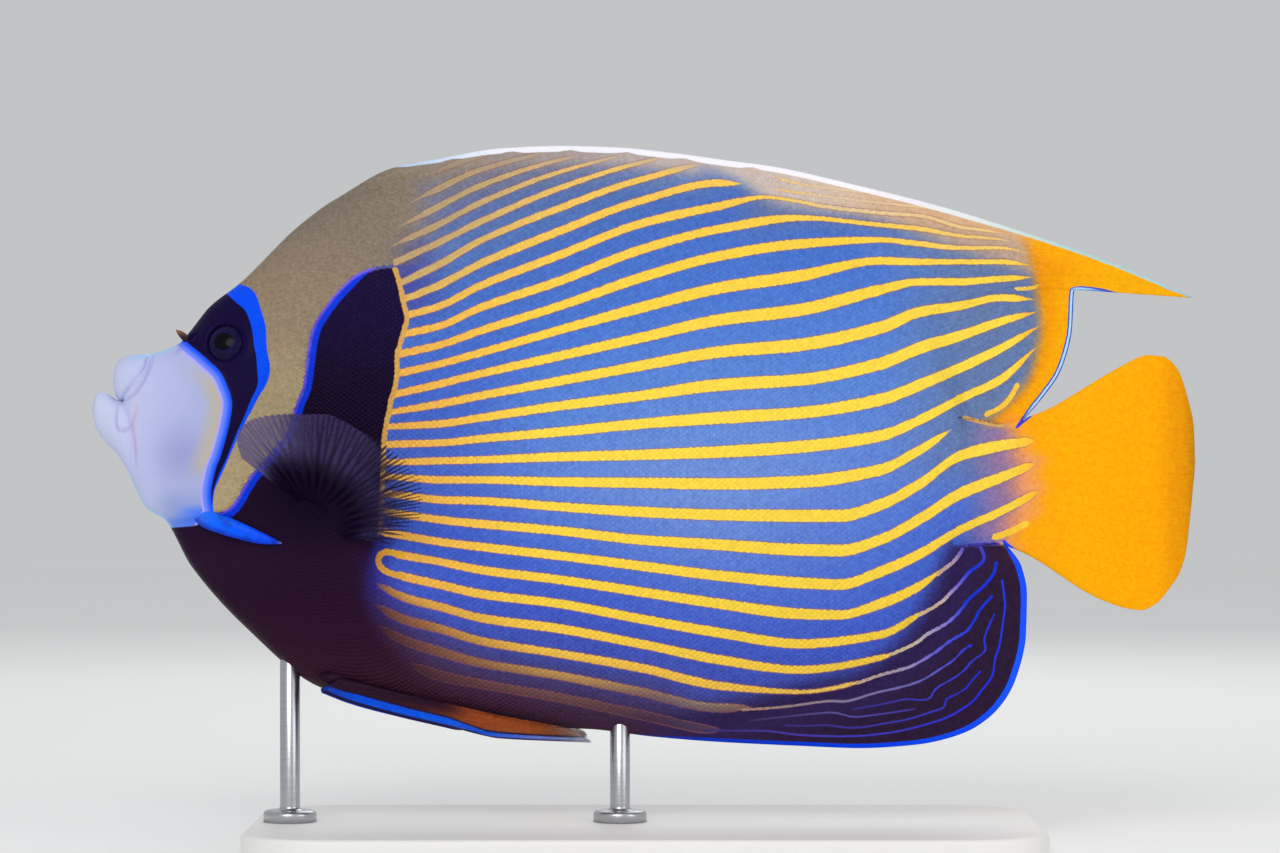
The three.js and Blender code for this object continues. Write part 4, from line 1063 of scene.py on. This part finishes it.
def fish_finish(name, roughness, scaled):
    """Skin and scales alike: ground colour, then stripes, lines, patches, bands, mask and margins over it."""
    finish = Finish(name, coat_weight=0.01, coat_roughness=0.3, specular_ior_level=0.05)
    field, colour = finish.field, lambda key: finish.field(key, "Color")
    grain = finish.noise(820.0, 3.0)
    ripple = (finish.noise(420.0, 2.0) - 0.5) * 0.9
    ground = finish.grained(colour("ground"), grain, 0.45)
    jag = ripple * 0.5 + (grain - 0.5) * 0.5
    gap = abs(field("stripe_gap") + jag * 0.6)
    gate = field("stripe_gate").above(0.0, 0.3)
    inside = field("stripe_half") - gap
    edge = inside.above(-0.28, 0.22) * gate
    core = inside.above(0.02, 0.16) * gate
    skin = finish.mix(ground, (150, 92, 84), edge * 0.6 * field("stripe_half").above(0.4, 0.3))
    skin = finish.mix(skin, colour("stripe"), core)
    for set_name in ("odd", "even"):
        fin_line = field(set_name + "_half") - abs(field(set_name + "_gap") + jag * 0.35)
        skin = finish.mix(skin, colour("line"), fin_line.above(0.0, 0.12))
    below_shoulder = field("shoulder").above(1.0, 0.2)
    skin = finish.mix(skin, colour("chest"), field("patch").above(0.5, 0.5) * below_shoulder)
    rim = field("rim_half") - abs(field("border") + jag * 0.5)
    skin = finish.mix(skin, (216, 166, 84), rim.above(0.0, 0.16) * below_shoulder)
    line = field("shoulder") + jag * 0.2
    on_line = line.above(0.0, 0.15) * (field("shoulder_width") - line).above(0.0, 0.25)
    skin = finish.mix(skin, finish.mix((128, 96, 240), (4, 54, 218), line.above(0.6, 0.5)), on_line)
    skin = finish.mix(skin, (2, 78, 246), (field("bright") + jag * 0.2).above(0.0, 0.2))
    skin = finish.mix(skin, (18, 5, 53), field("eye_band").above(0.0, 0.2))
    mask, band = field("mask") + jag * 0.2, field("mask_band") + jag * 0.2
    blues = finish.mix((24, 88, 252), (112, 140, 255), band.above(1.3, 1.0))
    face = finish.mix(blues, (186, 168, 250), band.above(2.6, 0.3))
    face = finish.mix(face, colour("face"), band.above(3.2, 0.35))
    # Painted shade in the folds round the mouth: the face turns darker violet by each fold's depth
    skin = finish.mix(skin, finish.mix(face, (150, 130, 186), field("fold") * 0.5), mask.above(0.0, 0.25))
    margin = field("margin") + jag * 0.5
    skin = finish.mix(skin, colour("edge"), margin.below(0.0, 0.15))
    from_edge = margin + 1.35
    trim = from_edge.above(0.3, 0.12) * from_edge.below(0.95, 0.12) * field("trim")
    skin = finish.mix(skin, (172, 220, 255), trim)
    fine = finish.noise(1500.0, 1.0)
    if scaled:
        # Painted shade and highlight on each scale from its tip field, darker on the sunk edge and walls,
        # lighter on the raised tips, plus the scale's own random tint
        painted_shade_and_tint = field("tip") * 0.22 + 0.87 + field("tint")
        skin = finish.add("HueSaturation", {}, {"Value": painted_shade_and_tint, "Color": skin})
        normal = finish.bump(fine, 0.1, 0.0002)
    else:
        four_a_ray = field("ray_count") * (2 * math.pi * 4)
        rays = finish.add("Math", {"operation": "SINE"}, {0: four_a_ray})
        place = finish.add("TexCoord", {}, {}, "Object")
        pits = finish.add("TexVoronoi", {}, {"Scale": 900.0, "Vector": place})
        on_fin = field("ray_reach").above(0.3, 0.2)
        normal = finish.bump(rays * on_fin * 0.4 + pits * (1 - on_fin) * 0.7 + fine * 0.3, 0.3, 0.0003)
    return finish.done(base_color=skin, roughness=grain * 0.16 + roughness, normal=normal)


# Where the laid-out skin starts, and how long and high it is
FLAT_START, FLAT_SIZE = (-2, -105), (340, 235)


def unwrap_of(points, right_side):
    """Places of the skin's points when each half is laid out flat, by the girth round the body."""
    girth = points[:, 2] + np.sign(points[:, 2] - along(MIDDLE, points[:, 0])) * (
        along(HALF_WIDTH, points[:, 0]) - np.abs(points[:, 1]))
    u = 0.02 + 0.96 * (points[:, 0] - FLAT_START[0]) / FLAT_SIZE[0]
    v = 0.01 + 0.48 * (girth - FLAT_START[1]) / FLAT_SIZE[1]
    return np.stack([u, v + np.where(right_side, 0.5, 0)], axis=1)


def make_skin(grid):
    """The one skin of head, trunk, tail and upright fins, with its lips and nostril flaps."""
    points, groups, source = both_sides(grid["points"], [grid["quads"], grid["corners"]])
    extras = [lip(form) for form in (UPPER_LIP, LOWER_LIP)] + [nostril_flap(side) for side in (-1, 1)]
    for extra_points, extra_faces in extras:
        groups += [group + len(points) for group in extra_faces]
        points = np.vstack([points, extra_points])
    bare = np.zeros(len(points) - len(source))
    fields, colours = marking_fields(*as_seen(points))
    fields.update({"ray_" + key: np.append(grid[key][source], bare) for key in ("count", "reach")})
    flaps = slice(-2 * len(extra_points), None)
    fields["mask"][flaps] = fields["mask_band"][flaps] = FAR
    brown = [(42.5, 26, 12, 46), (44.6, 66, 42, 50), (46, 146, 100, 80)]
    colours["face"][flaps] = hues(brown, points[flaps, 2])
    flat = unwrap_of(points, points[:, 1] > 0)
    skin = make_mesh("skin", points, groups, fields, colours, flat)
    skin.data.materials.append(fish_finish("living skin", 0.36, False))
    return skin


# One scale, as (rearward, across, height, painted light), its front edge sunk under the scale before it.
# The last column is painted shade and highlight: low on the sunk front edge and the walls, high on the
# raised rear tips; points over 0.5 are also the ones that tilt.
SCALE = [
    (-0.75, -0.5, -0.05, 0.1), (-0.75, 0.5, -0.05, 0.1), (0.25, -0.72, 0.02, 0.6), (0.25, 0.72, 0.02, 0.6),
    (0.78, -0.34, 0.07, 1), (0.78, 0.34, 0.07, 1), (0.2, 0, 0.09, 0.7),
    (0.25, -0.72, -0.12, 0), (0.78, -0.34, -0.1, 0), (0.78, 0.34, -0.1, 0), (0.25, 0.72, -0.12, 0),
]
SCALE_FACES = [
    (6, 1, 0), (6, 3, 1), (6, 5, 3), (6, 4, 5), (6, 2, 4), (6, 0, 2),
    (2, 7, 8), (2, 8, 4), (4, 8, 9), (4, 9, 5), (5, 9, 10), (5, 10, 3),
]


def scale_places():
    """Places in rows over the side of the fish, as x, z and size, each column shifted by half a row."""
    chance = np.random.default_rng(11)
    step = 0.25
    heights = np.arange(-84, 106, step)
    x, odd, places = 21.0, False, []
    while x < SCALES_END:
        size = 0.66 + 0.34 * ramp(46, 92, x) - 0.22 * ramp(225, 275, x)
        flank = body_half(x, heights)
        girth = np.concatenate([[0], np.cumsum(np.hypot(step, np.diff(flank)))])
        girth -= np.interp(float(along(MIDDLE, x)), heights, girth)
        pitch = 1.5 * size
        first = int(girth[0] / pitch)
        steps = (np.arange(first, int(girth[-1] / pitch) + 1) + (0.5 if odd else 0)) * pitch
        z = np.interp(steps, girth, heights)
        jitter = chance.uniform(-0.08, 0.08, (2, len(z)))
        places.append(np.stack([x + jitter[0], z + jitter[1], np.full(len(z), float(size))], axis=1))
        x += float(size)
        odd = not odd
    return np.vstack(places)


def bare_from(place, x):
    """How far up a fin its scales end: on the tail, and on the anal, soft dorsal and spiny dorsal fins."""
    if place == 0.5:
        return 0.12
    if place < 0.5:
        return 0.3
    return 0.78 if x > 195 else 0.45


def scale_roots(grid):
    """Where each scale of the left side grows, which way it faces, which way it lies and its size."""
    tree = BVHTree.FromPolygons(grid["points"].tolist(), grid["quads"].tolist())
    found = []
    for x, z, size in scale_places().tolist():
        spot, normal, face, _ = tree.ray_cast((x, -80.0, z), (0.0, 1.0, 0.0))
        if spot is None or abs(normal.y) < 0.3:
            continue
        corner = grid["quads"][face][0]
        reach, place = grid["reach"][corner], grid["place"][corner]
        if reach > bare_from(place, x):
            continue
        sign = -1.0 if normal.y > 0 else 1.0
        found.append((*spot, *(normal * sign), size, reach * (1 if place > 0.5 else -1)))
    found = np.array(found)
    roots, normals, size, reach = found[:, :3], found[:, 3:6], found[:, 6], found[:, 7]
    seen_x, seen_z = as_seen(roots)
    bare = np.hypot(roots[:, 0] - EYE["x"], roots[:, 2] - EYE["z"]) < EYE["radius"] + 2
    bare |= behind(MASK_EDGE, seen_x, seen_z) < 0.6
    bare |= (behind(EYE_BAND_EDGE, seen_x, seen_z) < 0.3) & (seen_z > -8)
    keep = ~(bare | ((behind(REAR_ZONE, seen_x, seen_z) > 0.5) & (seen_z > 17)))
    return roots[keep], normals[keep], size[keep], reach[keep]


def make_scales(grid):
    """The coat: every scale a small raised plate of its own, in two pieces a side."""
    roots, normals, size, reach = scale_roots(grid)
    lie = np.stack([np.ones(len(roots)), np.zeros(len(roots)), 0.8 * reach], axis=1)
    lie -= normals * (lie * normals).sum(1, keepdims=True)
    lie /= np.linalg.norm(lie, axis=1, keepdims=True)
    across = np.cross(normals, lie)
    shape = np.array(SCALE)
    chance = np.random.default_rng(23)
    tilt = chance.uniform(-0.05, 0.07, len(roots))
    lift = shape[:, 2] + tilt[:, None] * (shape[:, 3] > 0.5)
    laid = lie[:, None] * shape[:, 0, None] + across[:, None] * shape[:, 1, None]
    points = roots[:, None] + size[:, None, None] * (laid + normals[:, None] * lift[..., None])
    sampled = 0.82 * points + 0.18 * roots[:, None]
    flat_roots = unwrap_of(roots, np.zeros(len(roots), bool))
    patch = shape[:, :2] / 1.5 * (0.003, 0.0022)
    tint = np.repeat(chance.normal(0, 0.03, len(roots)), len(shape))
    # Painted shade and highlight of every scale point: dark on the sunk front edge and walls, light on the
    # raised tips
    tip = np.tile(shape[:, 3], len(roots))
    faces = np.array(SCALE_FACES)
    look = fish_finish("living scales", 0.33, True)
    order = np.argsort(roots[:, 0], kind="stable")
    for part, chosen in enumerate(np.array_split(order, 2)):
        own = points[chosen].reshape(-1, 3)
        fields, colours = marking_fields(*as_seen(sampled[chosen].reshape(-1, 3)))
        rows = (chosen[:, None] * len(shape) + np.arange(len(shape))).ravel()
        # tip carries each scale point's painted shade and highlight, tint the scale's own random tone
        fields.update(tint=tint[rows], tip=tip[rows])
        index = (np.arange(len(chosen))[:, None, None] * len(shape) + faces).reshape(-1, 3)
        flat = (flat_roots[chosen][:, None] + patch).reshape(-1, 2)
        for side, word in ((-1, "left"), (1, "right")):
            mirrored = own * (1, -side, 1)
            turned = index if side < 0 else index[:, ::-1]
            moved = flat + (0, 0.5 if side > 0 else 0)
            name = f"{word}_scales_{'front' if part == 0 else 'rear'}"
            piece = make_mesh(name, mirrored, [turned], fields, colours, moved)
            piece.data.materials.append(look)
            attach(piece, "root")


def column_of(pairs, column, t):
    return along([(k, pair[column]) for k, pair in enumerate(pairs)], t)


def closed_sheet(middle, half):
    """Points and faces of a thin solid round a grid of middle points, closed along its border."""
    across = np.gradient(middle, axis=0)
    out = np.gradient(middle, axis=1)
    normal = np.cross(across, out)
    normal /= np.maximum(np.linalg.norm(normal, axis=-1, keepdims=True), 1e-9)
    half = half.copy()
    half[[0, -1]] = 0
    half[:, [0, -1]] = 0
    near = np.arange(half.size).reshape(half.shape)
    inside = half.ravel() > 0
    far = np.where(inside, half.size + np.cumsum(inside) - 1, near.ravel()).reshape(half.shape)
    first = (middle + normal * half[..., None]).reshape(-1, 3)
    second = (middle - normal * half[..., None]).reshape(-1, 3)[inside]

    source = np.concatenate([near.ravel(), near.ravel()[inside]])
    return np.vstack([first, second]), [sheet_quads(near), sheet_quads(far)[:, ::-1]], source


def guide_rays(table, rays, steps):
    """The ray numbers over a fin, their places in its table, and the table's columns there."""
    ray = np.linspace(0, rays - 1, steps * (rays - 1) + 1)[:, None]
    t = ray / (rays - 1) * (len(table) - 1)
    return ray, t, [column_of(table, k, t) for k in range(4)]


def on_side(side, points, faces):
    """A form made on the right side, mirrored where it belongs on the left."""
    if side > 0:
        return points, faces
    return points * (1, -1, 1), [group[:, ::-1] for group in faces]


def fin_fields(clear, reach, source):
    """The fields that the finish of a paired fin reads."""
    reach = np.broadcast_to(reach, clear.shape)
    return {"clear": clear.ravel()[source], "ray_reach": reach.ravel()[source]}


def branched(ray, reach):
    """The raised lines of rays that part into four towards the edge of a fin."""
    offset = ray - np.round(ray)
    wide = 0.25 * ramp(0.25, 0.75, reach)
    narrow = 0.125 * ramp(0.5, 0.92, reach)
    width = 0.15 - 0.095 * ramp(0.15, 0.9, reach)
    ridge = np.zeros(np.broadcast(ray, reach).shape)
    for first in (-1, 1):
        for second in (-1, 1):
            gap = np.abs(offset - first * wide - second * narrow)
            ridge = np.maximum(ridge, np.exp(-(np.minimum(gap, 1 - gap) / width) ** 2))
    return ridge


def pectoral_fin(side, name):
    """A spread fan of rays in a thin clear web, its rear edge parted into free ray tips."""
    chance = np.random.default_rng(5)
    ray, t, (root_x, root_z, tip_x, tip_z) = guide_rays(PECTORAL, PECTORAL_RAYS, 16)
    comb = ramp(4.9, 7.2, t)
    front = 1 - ramp(2.0, 4.2, t)
    teeth = 0.5 - 0.5 * np.cos(8 * np.pi * ray)
    ragged = np.interp(ray * 4, np.arange(4 * PECTORAL_RAYS), chance.uniform(0, 1, 4 * PECTORAL_RAYS))
    notch = 0.013 * (1 - comb) * (1 - branched(ray, np.ones(1))) + comb * (0.33 * (1 - teeth) + 0.07 * ragged)
    share = np.linspace(0, 1, 52) ** 0.85
    share[-2] = 1 - 0.25 * (1 - share[-3])
    reach = share * (1 - notch)
    seen_x = root_x + (tip_x - root_x) * reach
    seen_z = root_z + (tip_z - root_z) * reach + 1.1 * np.sin(np.pi * reach) * (comb - 0.3)
    stand_off = along(list(enumerate(PECTORAL_REACH)), t) + ROOT_DEPTH
    out = body_half(root_x, root_z) - ROOT_DEPTH + stand_off * (0.6 * reach + 0.4 * np.sin(reach * np.pi / 2))
    ridge = branched(ray, reach)
    puckered = 0.55 * np.cos(2 * np.pi * ray) * ramp(0.1, 0.3, reach) * (1 - 0.75 * ramp(0.35, 0.9, reach))
    nearer = (CAMERA_DISTANCE - out) / CAMERA_DISTANCE
    x = VIEW_CENTRE[0] + (seen_x - VIEW_CENTRE[0]) * nearer
    z = VIEW_CENTRE[1] + (seen_z - VIEW_CENTRE[1]) * nearer
    half = plate(reach, 1.25, 0.24) + 0.2 * ridge * ramp(0.08, 0.3, reach) * (1 - 0.4 * reach)
    half *= 1 - 0.45 * comb * ramp(0.72, 1, share)
    points, faces, source = closed_sheet(np.stack([x, out + puckered, z], axis=-1), half)
    web = front * (1 - 0.66 * ramp(0.28, 0.62, reach))
    web = web + (1 - front) * (1 - comb) * (1 - 0.22 * ramp(0.45, 0.9, reach))
    web = web + comb * (1 - front) * (1 - 0.95 * ramp(0.38, 0.74, reach))
    alpha = web + (1 - web) * ridge**1.5 * (1 - 0.5 * ramp(0.8, 1, share) * comb)
    deep = ramp(0.62, 0.3, reach + 0.1 * comb)
    clear = blend(np.array([62.0, 54, 98]), (86, 74, 124), front * ramp(0.3, 0.6, reach))
    ink = blend(np.array([34.0, 22, 50]), (112, 104, 152), front * ramp(0.35, 0.75, reach))
    colour = clear + (ink - clear) * (ridge**0.8)[..., None]
    colour = colour + (np.array([17.0, 2, 31]) - colour) * deep[..., None]
    points, faces = on_side(side, points, faces)
    fields = fin_fields(alpha, reach, source)
    return make_mesh(name, points, faces, fields, {"ground": colour.reshape(-1, 3)[source]})


def pelvic_fin(side, name):
    """The folded fin along the belly, blue in front, rust behind, clear at its tip."""
    ray, t, (root_x, root_z, tip_x, tip_z) = guide_rays(PELVIC, PELVIC_RAYS, 14)
    reach = np.linspace(0, 1, 110)
    tip = 1 - 0.02 * (1 - branched(ray, np.ones(1))) * ramp(0, 0.4, t)
    x = root_x + (tip_x - root_x) * reach * tip
    z = root_z + (tip_z - root_z) * reach * tip
    root_line, tip_line = PELVIC[0][:2], PELVIC[0][2:]
    z += (along(PELVIC_EDGE, x) - np.interp(x, *zip(root_line, tip_line))) * (1 - t / 3)
    ridge = branched(ray, np.broadcast_to(reach, x.shape))
    half = plate(reach, 1.3, 0.3) + 0.2 * ridge * ramp(0.04, 0.2, reach) * (1 - 0.4 * reach)
    y = np.maximum(2.6, body_half(x, z + 2) + 1.95)
    points, faces, source = closed_sheet(np.stack([x, y, z], axis=-1), half)
    knob, knob_faces = ball(PELVIC_KNOB["radii"], 28, 18)
    knob += (PELVIC_KNOB["x"], float(body_half(PELVIC_KNOB["x"], PELVIC_KNOB["z"])) + 0.2, PELVIC_KNOB["z"])
    faces += [group + len(points) for group in knob_faces]
    flat = np.vstack([points[:, [0, 2]], knob[:, [0, 2]]])
    over_edge = np.abs(nearest_on(smooth_line(PELVIC_EDGE), flat[:, 0], flat[:, 1])[0])
    colour = hues([
        (70, 44, 18, 40), (90, 50, 20, 40), (103, 84, 38, 36), (112, 158, 72, 32),
        (134, 170, 86, 42), (144, 150, 100, 84), (149, 136, 130, 150),
    ], flat[:, 0])
    width = np.interp(flat[:, 0], [70, 80, 106, 116, 140], [1.5, 2.4, 2.3, 1.3, 0.9])
    blue = hues([
        (68, 30, 60, 170), (80, 6, 84, 236), (104, 6, 96, 250), (118, 40, 96, 226),
        (136, 110, 130, 210), (146, 150, 156, 190),
    ], flat[:, 0])
    from_line = np.abs(over_edge - 0.45 - width / 2) - width / 2
    colour = layered(
        colour,
        ((44, 18, 40), ramp(3.4, 6, over_edge) * ramp(116, 100, flat[:, 0])),
        ((30, 16, 60), ramp(0.8, 0.1, from_line)),
        (blue, ramp(0.25, -0.25, from_line)),
    )
    colour[len(points):] = (40, 14, 38)
    thin = 1 - 0.6 * ramp(0.78, 1, np.broadcast_to(reach, x.shape))
    fields = fin_fields(thin, reach, source)
    for key, plain in (("clear", 1), ("ray_reach", 0)):
        fields[key] = np.append(fields[key], np.full(len(knob), plain))
    points, faces = on_side(side, np.vstack([points, knob]), faces)
    return make_mesh(name, points, faces, fields, {"ground": colour})


def flank_normal(x, z, side):
    step = 0.5
    by_x = (body_half(x + step, z) - body_half(x - step, z)) / (2 * step)
    by_z = (body_half(x, z + step) - body_half(x, z - step)) / (2 * step)
    normal = np.array([-by_x, side, -by_z], float)
    return normal / np.linalg.norm(normal)


def frame_on(normal, up):
    """Three directions with the last along normal and the second near up."""
    second = np.array(up, float) - np.dot(up, normal) * normal
    second /= np.linalg.norm(second)
    return np.stack([np.cross(second, normal), second, normal])


def eye_piece(side, name):
    """The glossy eyeball, with how far each point lies from the middle of the pupil."""
    normal = flank_normal(EYE["x"], EYE["z"], side)
    points, faces = ball((EYE["radius"], EYE["radius"], EYE["depth"]), 64, 48)
    from_pupil = np.where(points[:, 2] > 0, np.hypot(points[:, 0] * 0.94, points[:, 1]), FAR)
    centre = np.array([EYE["x"], side * float(body_half(EYE["x"], EYE["z"])), EYE["z"]])
    axes = frame_on(normal, (0, 0, 1))
    if side > 0:
        axes[0] *= -1
        faces = [group[:, ::-1] for group in faces]
    points = points @ axes + (centre - normal * EYE["sunk"])
    return make_mesh(name, points, faces, {"from_pupil": from_pupil})


def cheek_spine(side, name):
    """The curved blue spine at the corner of the cheek."""
    sides = 28
    at = np.linspace(0, len(CHEEK_SPINE) - 1, 60)
    x, z, high, thick = (column_of(CHEEK_SPINE, k, at) for k in range(4))
    turn = np.linspace(0, 2 * np.pi, sides, endpoint=False)
    rings = []
    for k in range(len(at)):
        normal = flank_normal(x[k], z[k], side)
        lift = -1.6 + (1.95 + thick[k] * 0.5) * ramp(-0.3, 2.4, at[k])
        up = np.array([0.35, 0, 1.0]) - normal[2] * normal
        up /= np.linalg.norm(up)
        centre = np.array([x[k], side * float(body_half(x[k], z[k])), z[k]]) + normal * lift
        ring = centre + up * high[k] * np.cos(turn)[:, None]
        rings.append(ring + normal * thick[k] * np.sin(turn)[:, None])
    rings = np.array(rings)
    points, quads, fans = closed_tube(rings, [rings[0].mean(0), rings[-1].mean(0)])
    faces = [quads, fans] if side > 0 else [quads[:, ::-1], fans[:, ::-1]]
    share = np.append(np.repeat(at / at[-1], sides), [0, 1])
    height = np.append(np.tile(np.cos(turn), len(at)), [0, 0])
    colour = hues([
        (0, 76, 124, 254), (0.25, 40, 112, 255), (0.4, 4, 100, 255), (0.8, 0, 76, 250),
        (0.93, 16, 56, 196), (1, 120, 110, 150),
    ], share)
    # Painted shade: the spine's underside is coloured a darker blue
    colour = blend(colour, (2, 34, 196), 0.55 * ramp(-0.2, -0.9, height))
    return make_mesh(name, points, faces, None, {"ground": colour})


def fin_finish(name, roughness):
    """The clear web and the rays of a paired fin."""
    finish = Finish(name, coat_weight=0.01, coat_roughness=0.3, specular_ior_level=0.06)
    grain = finish.noise(900.0, 3.0)
    colour = finish.grained(finish.field("ground", "Color"), grain, 0.6)
    joints = finish.add("Math", {"operation": "SINE"}, {0: finish.field("ray_reach") * 420.0})
    normal = finish.bump(joints * 0.5 + grain, 0.2, 0.0002)
    clear = finish.field("clear")
    return finish.done(base_color=colour, alpha=clear, roughness=grain * 0.15 + roughness, normal=normal)


def eye_finish():
    finish = Finish("wet eye", coat_weight=0.07, coat_roughness=0.08, specular_ior_level=0.05)
    away = finish.field("from_pupil") + (finish.noise(600.0) - 0.5) * 0.3
    streak = finish.noise(700.0, 4.0)
    iris = finish.mix((10, 6, 42), (24, 18, 66), streak)
    iris = finish.mix(iris, (36, 20, 38), away.above(5.2, 0.4) * 0.6)
    iris = finish.mix(iris, (24, 26, 84), away.below(3.15, 0.16) * 0.6)
    colour = finish.mix(iris, (3, 3, 12), away.below(2.85, 0.12))
    return finish.done(base_color=colour, roughness=streak * 0.1 + 0.22)


def spine_finish():
    finish = Finish("blue spine", coat_weight=0.03, coat_roughness=0.2, specular_ior_level=0.08)
    grain = finish.noise(700.0, 3.0)
    cloud = finish.noise(260.0, 2.0)
    colour = finish.mix(finish.field("ground", "Color"), (2, 34, 150), cloud.above(0.56, 0.12) * 0.45)
    bump = finish.bump(grain, 0.15, 0.0002)
    return finish.done(base_color=colour, roughness=grain * 0.2 + 0.3, normal=bump)


def steel_finish():
    steel = Finish("brushed steel", metallic=1.0)
    place = steel.add("TexCoord", {}, {}, "Object")
    rings = steel.add("Mapping", {}, {"Vector": place, "Scale": (40.0, 40.0, 2600.0)})
    brush = steel.add("TexNoise", {}, {"Vector": rings, "Scale": 1.0, "Detail": 3.0})
    return steel.done(
        base_color=steel.mix((168, 170, 174), (204, 205, 208), brush), roughness=brush * 0.14 + 0.24,
        normal=steel.bump(brush, 0.12, 0.0001))


def satin_finish():
    satin = Finish("off-white satin", specular_ior_level=0.5)
    grain = satin.noise(500.0, 4.0)
    colour = satin.mix((236, 234, 230), (242, 240, 236), satin.noise(12.0))
    return satin.done(base_color=colour, roughness=grain * 0.1 + 0.42, normal=satin.bump(grain, 0.08, 0.0001))


def flat_ended(name, points, levels, look):
    """A form from rings of points, one above the other, with a flat face below and above."""
    index = np.arange(len(points)).reshape(levels, -1)
    after = np.roll(index, -1, axis=1)
    quads = np.stack([index[:-1], after[:-1], after[1:], index[1:]], axis=-1).reshape(-1, 4)
    piece = make_mesh(name, points, [quads, index[:1, ::-1], index[-1:]])
    piece.data.materials.append(look)
    return piece


def stand_rod(name, x, low, high, look):
    """A turned rod at x from low to high, with a flat round foot that runs into it in a hollow curve."""
    bend = np.linspace(0, np.pi / 2, 7)
    top = low + ROD["foot_height"]
    edge, inner = 1.4, 1.2
    profile = [(0.05, low), (ROD["foot"], low)]
    profile += [(ROD["foot"] - edge + edge * np.cos(a), top - edge + edge * np.sin(a)) for a in bend]
    profile += [(ROD["radius"] + inner - inner * np.sin(a), top + inner - inner * np.cos(a)) for a in bend]
    profile += [(ROD["radius"], high - 0.4), (ROD["radius"] - 0.4, high)]
    turn = np.linspace(0, 2 * np.pi, 72, endpoint=False)
    points = [(x + r * np.cos(a), r * np.sin(a), h) for r, h in profile for a in turn]
    return flat_ended(name, points, len(profile), look)


def stand_plate(floor, look):
    """The oblong plate with round corners and soft edges."""
    corner, bevel, height = BASE["corner"], BASE["bevel"], BASE["height"]
    corners = [(1, 1), (-1, 1), (-1, -1), (1, -1)]
    outline = []
    for k, (cx, cy) in enumerate(corners):
        middle = cx * (BASE["length"] / 2 - corner), cy * (BASE["depth"] / 2 - corner)
        turns = [np.deg2rad(90 * k) + a for a in np.linspace(0, np.pi / 2, 20)]
        outline += [(*middle, np.cos(a), np.sin(a)) for a in turns]
    flat = corner - bevel
    lower, upper = np.linspace(0.2, np.pi / 2, 7), np.linspace(0, np.pi / 2, 8)
    levels = [(flat, 0)] + [(flat + bevel * np.sin(a), bevel - bevel * np.cos(a)) for a in lower]
    levels += [(flat + bevel * np.cos(a), height - bevel + bevel * np.sin(a)) for a in upper]
    centre = -FISH_ORIGIN[0]
    points = [(centre + o[0] + r * o[2], o[1] + r * o[3], floor + h) for r, h in levels for o in outline]
    base = flat_ended("base_plate", points, len(levels), look)
    for polygon in (base.data.polygons[-1], base.data.polygons[-2]):
        polygon.use_smooth = False
    return base


def stand_pieces():
    """Each piece of the stand, with the node that it replaces and its slot."""
    floor, steel = -FISH_ORIGIN[2], steel_finish()
    pieces = []
    for place, x in ROD_PLACES.items():
        low, high = floor + BASE["height"], float(along(BELLY, x)) + ROD["sunk"]
        pieces.append((stand_rod(place + "_rod", x, low, high, steel), "stand_rod_" + place, "stand_rod"))
    return pieces + [(stand_plate(floor, satin_finish()), "stand_base", "stand_base")]


grid = skin_grid()
skin = make_skin(grid)
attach(skin, "root")
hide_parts("head", "trunk", "tail_stem", "dorsal_fin_spiny", "dorsal_fin_soft", "anal_fin", "caudal_fin")
make_scales(grid)

paired = [
    (pectoral_fin, "pectoral_fin", fin_finish("fin web", 0.42)),
    (pelvic_fin, "pelvic_fin", fin_finish("folded fin", 0.4)),
    (eye_piece, "eye", eye_finish()),
    (cheek_spine, "cheek_spine", spine_finish()),
]
pieces = []
for side, word in ((-1, "left"), (1, "right")):
    for make, kind, look in paired:
        piece = make(side, f"{word}_{kind}")
        piece.data.materials.append(look)
        pieces.append((piece, f"{kind}_{word}", kind))
for piece, node, slot in pieces + stand_pieces():
    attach(piece, "root")
    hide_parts(node)


# The camera, the floor and the light
def make_camera():
    data = bpy.data.cameras.new("camera")
    data.sensor_width = SENSOR_WIDTH
    data.lens = SENSOR_WIDTH * CAMERA_DISTANCE / VIEW_WIDTH
    camera = linked("camera", data)
    camera.location = row_frame((VIEW_CENTRE[0], -CAMERA_DISTANCE, VIEW_CENTRE[1]))
    camera.rotation_euler = (math.pi / 2, 0, 0)
    bpy.context.scene.camera = camera


def soft_light(name, place, size, power):
    data = bpy.data.lights.new(name, "AREA")
    data.shape, data.size, data.energy = "DISK", size, power
    light = linked(name, data)
    light.location = place
    light.rotation_euler = (Vector(LIT_PLACE) - Vector(place)).to_track_quat("-Z", "Y").to_euler()


def make_floor():
    mesh = bpy.data.meshes.new("floor")
    corners = [(-1, -1), (1, -1), (1, 1), (-1, 1)]
    mesh.from_pydata([(FLOOR_REACH * x, FLOOR_REACH * y, 0) for x, y in corners], [], [(0, 1, 2, 3)])
    floor = linked("floor", mesh)
    glow = (0.03, 0.031, 0.033, 1)
    finish = Finish("pale floor", roughness=0.8, emission_color=glow, emission_strength=1.0)
    cloud = finish.noise(3.0)
    mesh.materials.append(finish.done(base_color=finish.mix((244, 244, 242), (249, 249, 248), cloud)))


def make_world():
    world = bpy.data.worlds.new("studio")
    world.use_nodes = True
    background = world.node_tree.nodes["Background"]
    background.inputs["Color"].default_value = (0.9, 0.92, 0.94, 1)
    background.inputs["Strength"].default_value = 0.6
    bpy.context.scene.world = world


make_camera()
make_floor()
make_world()
soft_light("front light", (-0.25, -1.1, 0.75), 0.7, 6)
soft_light("side light", (0.9, -0.7, 0.5), 0.6, 1.8)
soft_light("back light", (0.1, 0.9, 0.8), 0.8, 2.4)
bpy.context.scene.view_settings.view_transform = "Standard"
